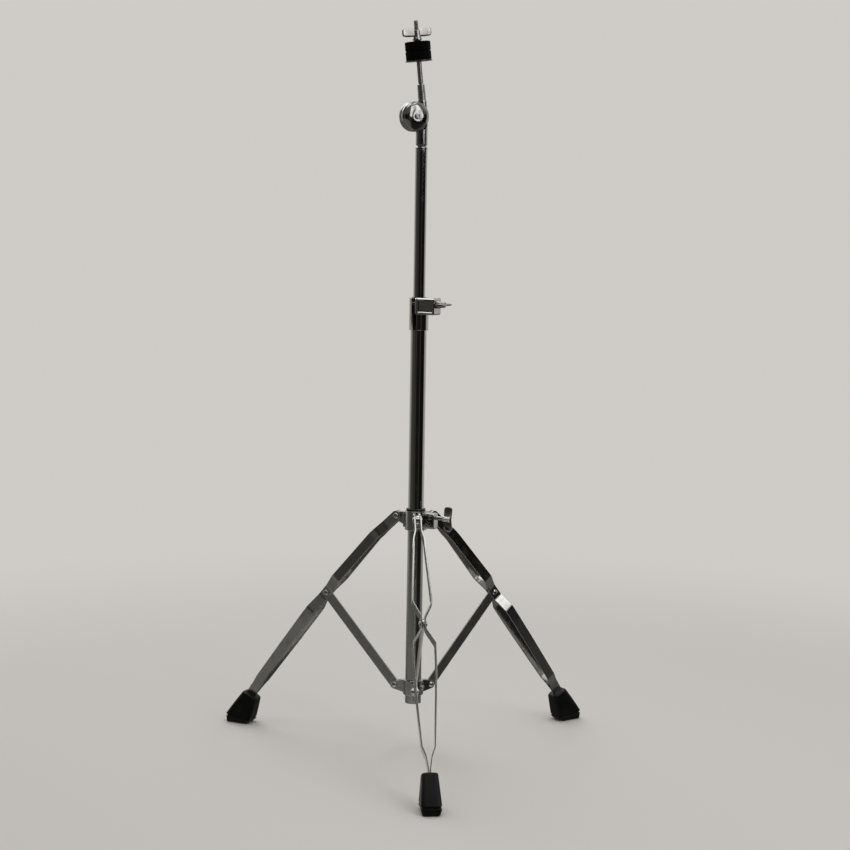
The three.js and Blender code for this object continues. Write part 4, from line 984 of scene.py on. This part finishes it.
def makeRod(d):
    lower = rounded([[0, d["spigotEnd"]], [d["spigot"], d["spigotEnd"]], [d["spigot"], d["bossTop"]],
                     [d["footRadius"], d["bossTop"]], [d["thick"], d["thickTop"]],
                     [d["radius"], d["thickTop"] + d["chamfer"]], [d["radius"], d["seat"]],
                     [d["threadRadius"], d["seat"]]], [0, 0.3, 0.05, 0.4, 0.4, 0.3, 0.3, 0], 3, closed=False)
    turns = 40
    low, _ = lathe(lower, False, turns)
    high, _ = thread(d["threadRadius"], d["threadDepth"], d["seat"] + 0.2, d["tip"], d["pitch"], turns)
    bar = newPiece("cymbalRod", (np.concatenate([low, high]), False), seatFrame)
    finished(bar, "cymbal_arm", "cymbal_rod", metal["rodChrome"], math.radians(40))


makeRod(rod)

seat = {"washerBottom": 83.3, "washerTop": 84.9, "washerRadius": 20.8, "washerBore": 3.8, "sleeveInner": 3.8,
        "sleeveOuter": 5.6, "sleeveBottom": 85.2, "sleeveTop": 114.9}


def makeSeat(d):
    shape = sleeve(d["washerBore"], d["washerRadius"], d["washerBottom"], d["washerTop"], 0.4, fineTurns)
    washer = newPiece("seatWasher", shape, seatFrame)
    finished(washer, "cymbal_arm", "seat_washer", metal["washerPaintedDark"])
    shape = sleeve(d["sleeveInner"], d["sleeveOuter"], d["sleeveBottom"], d["sleeveTop"], 0.4, 56)
    liner = newPiece("cymbalSleeve", shape, seatFrame)
    finished(liner, "cymbal_arm", "cymbal_sleeve", blackNylon)


makeSeat(seat)

felts = {"inner": 5.9, "radius": 19.8, "thickness": 13.9, "edge": 1.6, "fuzz": 0.10, "seed": 7,
         "places": [["bottomFelt", "bottom_felt", "cymbal_arm", 85.2],
                    ["topFelt", "top_felt", "top_felt", 99.4]]}


def makeFelt(name, node, body, bottom, d, draw):
    # A pressed ring with soft edges. The skin stands off by fuzz times a smooth random field.
    corners = boxOutline(d["inner"], d["radius"], bottom, bottom + d["thickness"])
    profile = rounded(corners, [0.5, d["edge"], d["edge"], 0.5], 6)
    # more points along the long sides, and then all of them in order round the middle
    ends = np.roll(profile, -1, axis=0)
    wide = np.linalg.norm(profile - ends, axis=1) > 1.5
    sides = [np.linspace(a, b, 7, endpoint=False) for a, b in zip(profile[wide], ends[wide])]
    profile = np.unique(np.round(np.concatenate([profile, *sides]), 5), axis=0)
    centre = np.array([(d["radius"] + d["inner"]) / 2, bottom + d["thickness"] / 2])
    box = (profile - centre) / [(d["radius"] - d["inner"]) / 2, d["thickness"] / 2]
    profile = profile[np.argsort(np.arctan2(box[:, 1], box[:, 0]))]
    turns = 180
    rings, _ = lathe(profile, True, turns)
    wobble = draw.normal(size=rings.shape[:2])
    for _ in range(2):
        wobble = (wobble + np.roll(wobble, 1, 0) + np.roll(wobble, -1, 0) + np.roll(wobble, 1, 1)
                  + np.roll(wobble, -1, 1)) / 5
    wobble = -np.abs(wobble) / np.abs(wobble).max() * d["fuzz"] * 2
    inward = profile - centre
    inward /= np.linalg.norm(inward, axis=1)[:, None]
    angle = np.linspace(0, 2 * np.pi, turns, endpoint=False)
    rings[:, :, 0] += wobble * inward[:, None, 0] * np.cos(angle)
    rings[:, :, 1] += wobble * inward[:, None, 0] * np.sin(angle)
    rings[:, :, 2] += wobble * inward[:, None, 1]
    pad = newPiece(name, (rings, True), seatFrame)
    finished(pad, body, node, woolFelt, math.radians(70))


feltDraw = np.random.default_rng(felts["seed"])
for name, node, body, bottom in felts["places"]:
    makeFelt(name, node, body, bottom, felts, feltDraw)


topNut = {"foot": 7.4, "hub": 6, "hubLength": 18, "reach": 24.5, "wingHeight": 13, "wingThickness": 4.6,
          "rise": 0.1, "neck": 0.82, "taper": 0.34, "bore": 3.8, "seat": 115.2, "turn": -4}


def makeTopNut(d):
    nut = wingNut("topWingNut", shifted(seatFrame, 0, 0, d["seat"]), d, d["foot"], d["turn"])
    finished(nut, "top_wing_nut", "top_wing_nut", metal["boltChrome"])


makeTopNut(topNut)
print("stage: cymbal seat done")


view = {"turn": 4.88253, "distance": 2.77966, "height": 0.83012, "yaw": 0.25505, "pitch": 6.29763,
        "roll": 0.91269, "lens": 74.83, "sensor": 36, "farthest": 60}


def makeCamera(d):
    yaw, pitch, roll = (math.radians(d[k]) for k in ("yaw", "pitch", "roll"))
    right = np.array([math.cos(yaw), -math.sin(yaw), 0])
    forward = np.array([math.sin(yaw) * math.cos(pitch), math.cos(yaw) * math.cos(pitch), -math.sin(pitch)])
    up = np.array([math.sin(yaw) * math.sin(pitch), math.cos(yaw) * math.sin(pitch), math.cos(pitch)])
    x = right * math.cos(roll) + up * math.sin(roll)
    y = up * math.cos(roll) - right * math.sin(roll)
    axes = np.array([x, y, -forward]) @ turnedAxes(-d["turn"])
    angle = math.radians(d["turn"])
    place = [columnX - d["distance"] * math.sin(angle), columnY - d["distance"] * math.cos(angle),
             d["height"]]
    camera = newObject("camera", bpy.data.cameras.new("camera"))
    camera.data.lens, camera.data.sensor_fit, camera.data.clip_end = d["lens"], "HORIZONTAL", d["farthest"]
    camera.data.sensor_width = camera.data.sensor_height = d["sensor"]
    camera.matrix_world = Matrix.Translation(Vector(place)) @ Matrix(axes.T.tolist()).to_4x4()
    bpy.context.scene.camera = camera


makeCamera(view)

# A pale wall stands behind the stand, and a dim room is on the camera's side. Each table gives
# degrees to the right of the camera's direction, and the grey that the room has there.
room = {"background": (0.62, 0.60, 0.57), "floor": (0.83, 0.81, 0.78), "tint": (1.0, 0.97, 0.92),
        "fadeFrom": 0.75, "fadeTo": 1.9, "reflectedFrom": 0.04, "reflectedTo": 0.32, "floorRadius": 8,
        "floorSides": 96,
        "level": [[-180, 0.50], [-125, 0.42], [-104, 0.34], [-93, 0.10], [-80, 0.07], [-62, 0.06],
                  [-48, 0.055], [-38, 0.022], [-29, 0.062], [-21, 0.014], [0, 0.010], [21, 0.012],
                  [29, 0.055], [37, 0.008], [80, 0.006], [92, 0.022], [99, 0.42], [112, 0.50], [180, 0.50]],
        "above": [[-180, 0.42], [-110, 0.34], [-85, 0.12], [-20, 0.11], [30, 0.16], [80, 0.20], [108, 0.50],
                  [180, 0.42]],
        "below": [[-180, 0.14], [-100, 0.14], [-90, 0.19], [-10, 0.17], [22, 0.15], [34, 0.02], [74, 0.025],
                  [95, 0.14], [180, 0.14]]}


def bandRamp(tree, share, bands, tint):
    ramp = addNode(tree, "ValToRGB", Fac=share)
    stops = ramp.color_ramp.elements
    while len(stops) < len(bands):
        stops.new(0.5)
    for stop, (degrees, grey) in zip(stops, bands):
        stop.position = (degrees + 180) / 360
        stop.color = (*(c * grey for c in tint), 1)
    return ramp.outputs["Color"]


def makeWorld(d):
    world = bpy.data.worlds.new("room")
    bpy.context.scene.world = world
    world.use_nodes = True
    tree = world.node_tree
    tree.nodes.clear()
    direction = addNode(tree, "TexCoord").outputs["Generated"]
    turn = math.radians(view["turn"])
    towards, sideways = (
        addNode(tree, "VectorMath", {"operation": "DOT_PRODUCT"}, n0=direction, n1=along).outputs["Value"]
        for along in ((-math.sin(turn), -math.cos(turn), 0), (math.cos(turn), -math.sin(turn), 0)))
    share = calc(tree, "MULTIPLY_ADD", calc(tree, "ARCTAN2", sideways, towards), 1 / (2 * math.pi), 0.5)
    level, above, below = (bandRamp(tree, share, d[k], d["tint"]) for k in ("level", "above", "below"))
    up = addNode(tree, "SeparateXYZ", Vector=direction).outputs["Z"]
    colour = mixColour(tree, faded(tree, up, -0.15, -0.25), level, below)
    colour = mixColour(tree, faded(tree, up, 0.12, 0.34), colour, above)
    # the camera sees the plain background all round, and metal sees it behind the stand
    path = addNode(tree, "LightPath").outputs
    shiny = calc(tree, "MAXIMUM", path["Is Glossy Ray"], path["Is Transmission Ray"])
    behind = calc(tree, "MULTIPLY", faded(tree, towards, -0.45, -0.80), faded(tree, up, -0.24, -0.11))
    seen = calc(tree, "MAXIMUM", path["Is Camera Ray"], calc(tree, "MULTIPLY", shiny, behind))
    light = addNode(tree, "Background", Color=mixColour(tree, seen, colour, d["background"]), Strength=1.0)
    addNode(tree, "OutputWorld", Surface=light.outputs[0])


makeWorld(room)


def makeFloor(d):
    # A pale floor round the feet. Farther out it turns into the background for the camera.
    angle = np.linspace(0, 2 * np.pi, d["floorSides"], endpoint=False)
    ring = d["floorRadius"] * np.column_stack([np.cos(angle), np.sin(angle), np.zeros(len(angle))])
    mesh = bpy.data.meshes.new("floor")
    mesh.from_pydata(ring.tolist(), [], [list(range(len(ring)))])
    floor = newObject("floor", mesh)
    material, tree, shader = newMaterial("paleFloor")
    feed(tree, shader, {"Base Color": (*d["floor"], 1), "Roughness": 0.9, "Specular IOR Level": 0.1})
    place = addNode(tree, "TexCoord").outputs["Object"]
    distance = addNode(tree, "VectorMath", {"operation": "LENGTH"}, n0=place).outputs["Value"]
    path = addNode(tree, "LightPath").outputs["Is Camera Ray"]
    seen = calc(tree, "MULTIPLY", path, faded(tree, distance, d["fadeFrom"], d["fadeTo"]))
    reflected = calc(tree, "MULTIPLY", calc(tree, "SUBTRACT", 1.0, path),
                     faded(tree, distance, d["reflectedFrom"], d["reflectedTo"]))
    glow = addNode(tree, "Emission", Color=(*d["background"], 1), Strength=1.0)
    clear = addNode(tree, "BsdfTransparent")
    far = addNode(tree, "MixShader", n0=path, n1=clear.outputs[0], n2=glow.outputs[0])
    mixed = addNode(tree, "MixShader", n0=calc(tree, "ADD", seen, reflected), n1=shader.outputs[0],
                    n2=far.outputs[0])
    feed(tree, tree.nodes["Material Output"], {"Surface": mixed.outputs[0]})
    mesh.materials.append(material)


makeFloor(room)

# name, place, point that it is aimed at, size of its rectangle, and power
lamps = [
    ["leftPane", (1.50, -2.24, 2.15), (0, 0.08, 0.6), (0.7, 2.3), 9],
    ["rightPane", (2.25, -1.58, 2.15), (0, 0.08, 0.6), (0.7, 2.3), 9],
    ["overheadSoftbox", (0.0, 0.1, 3.2), (0, 0.1, 0.3), (2.5, 2.4), 27],
    ["backSoftbox", (-0.9, 2.3, 2.7), (0, 0.1, 0.4), (2.0, 2.0), 18],
]


def makeLamp(name, place, aim, size, power):
    lamp = bpy.data.lights.new(name, "AREA")
    lamp.shape, lamp.energy = "RECTANGLE", power
    lamp.size, lamp.size_y = size
    obj = newObject(name, lamp)
    obj.location = place
    obj.rotation_euler = (Vector(aim) - Vector(place)).to_track_quat("-Z", "Y").to_euler()
    obj.visible_camera = False


for row in lamps:
    makeLamp(*row)


bpy.context.scene.view_settings.view_transform = "Standard"
print("stage: room done")
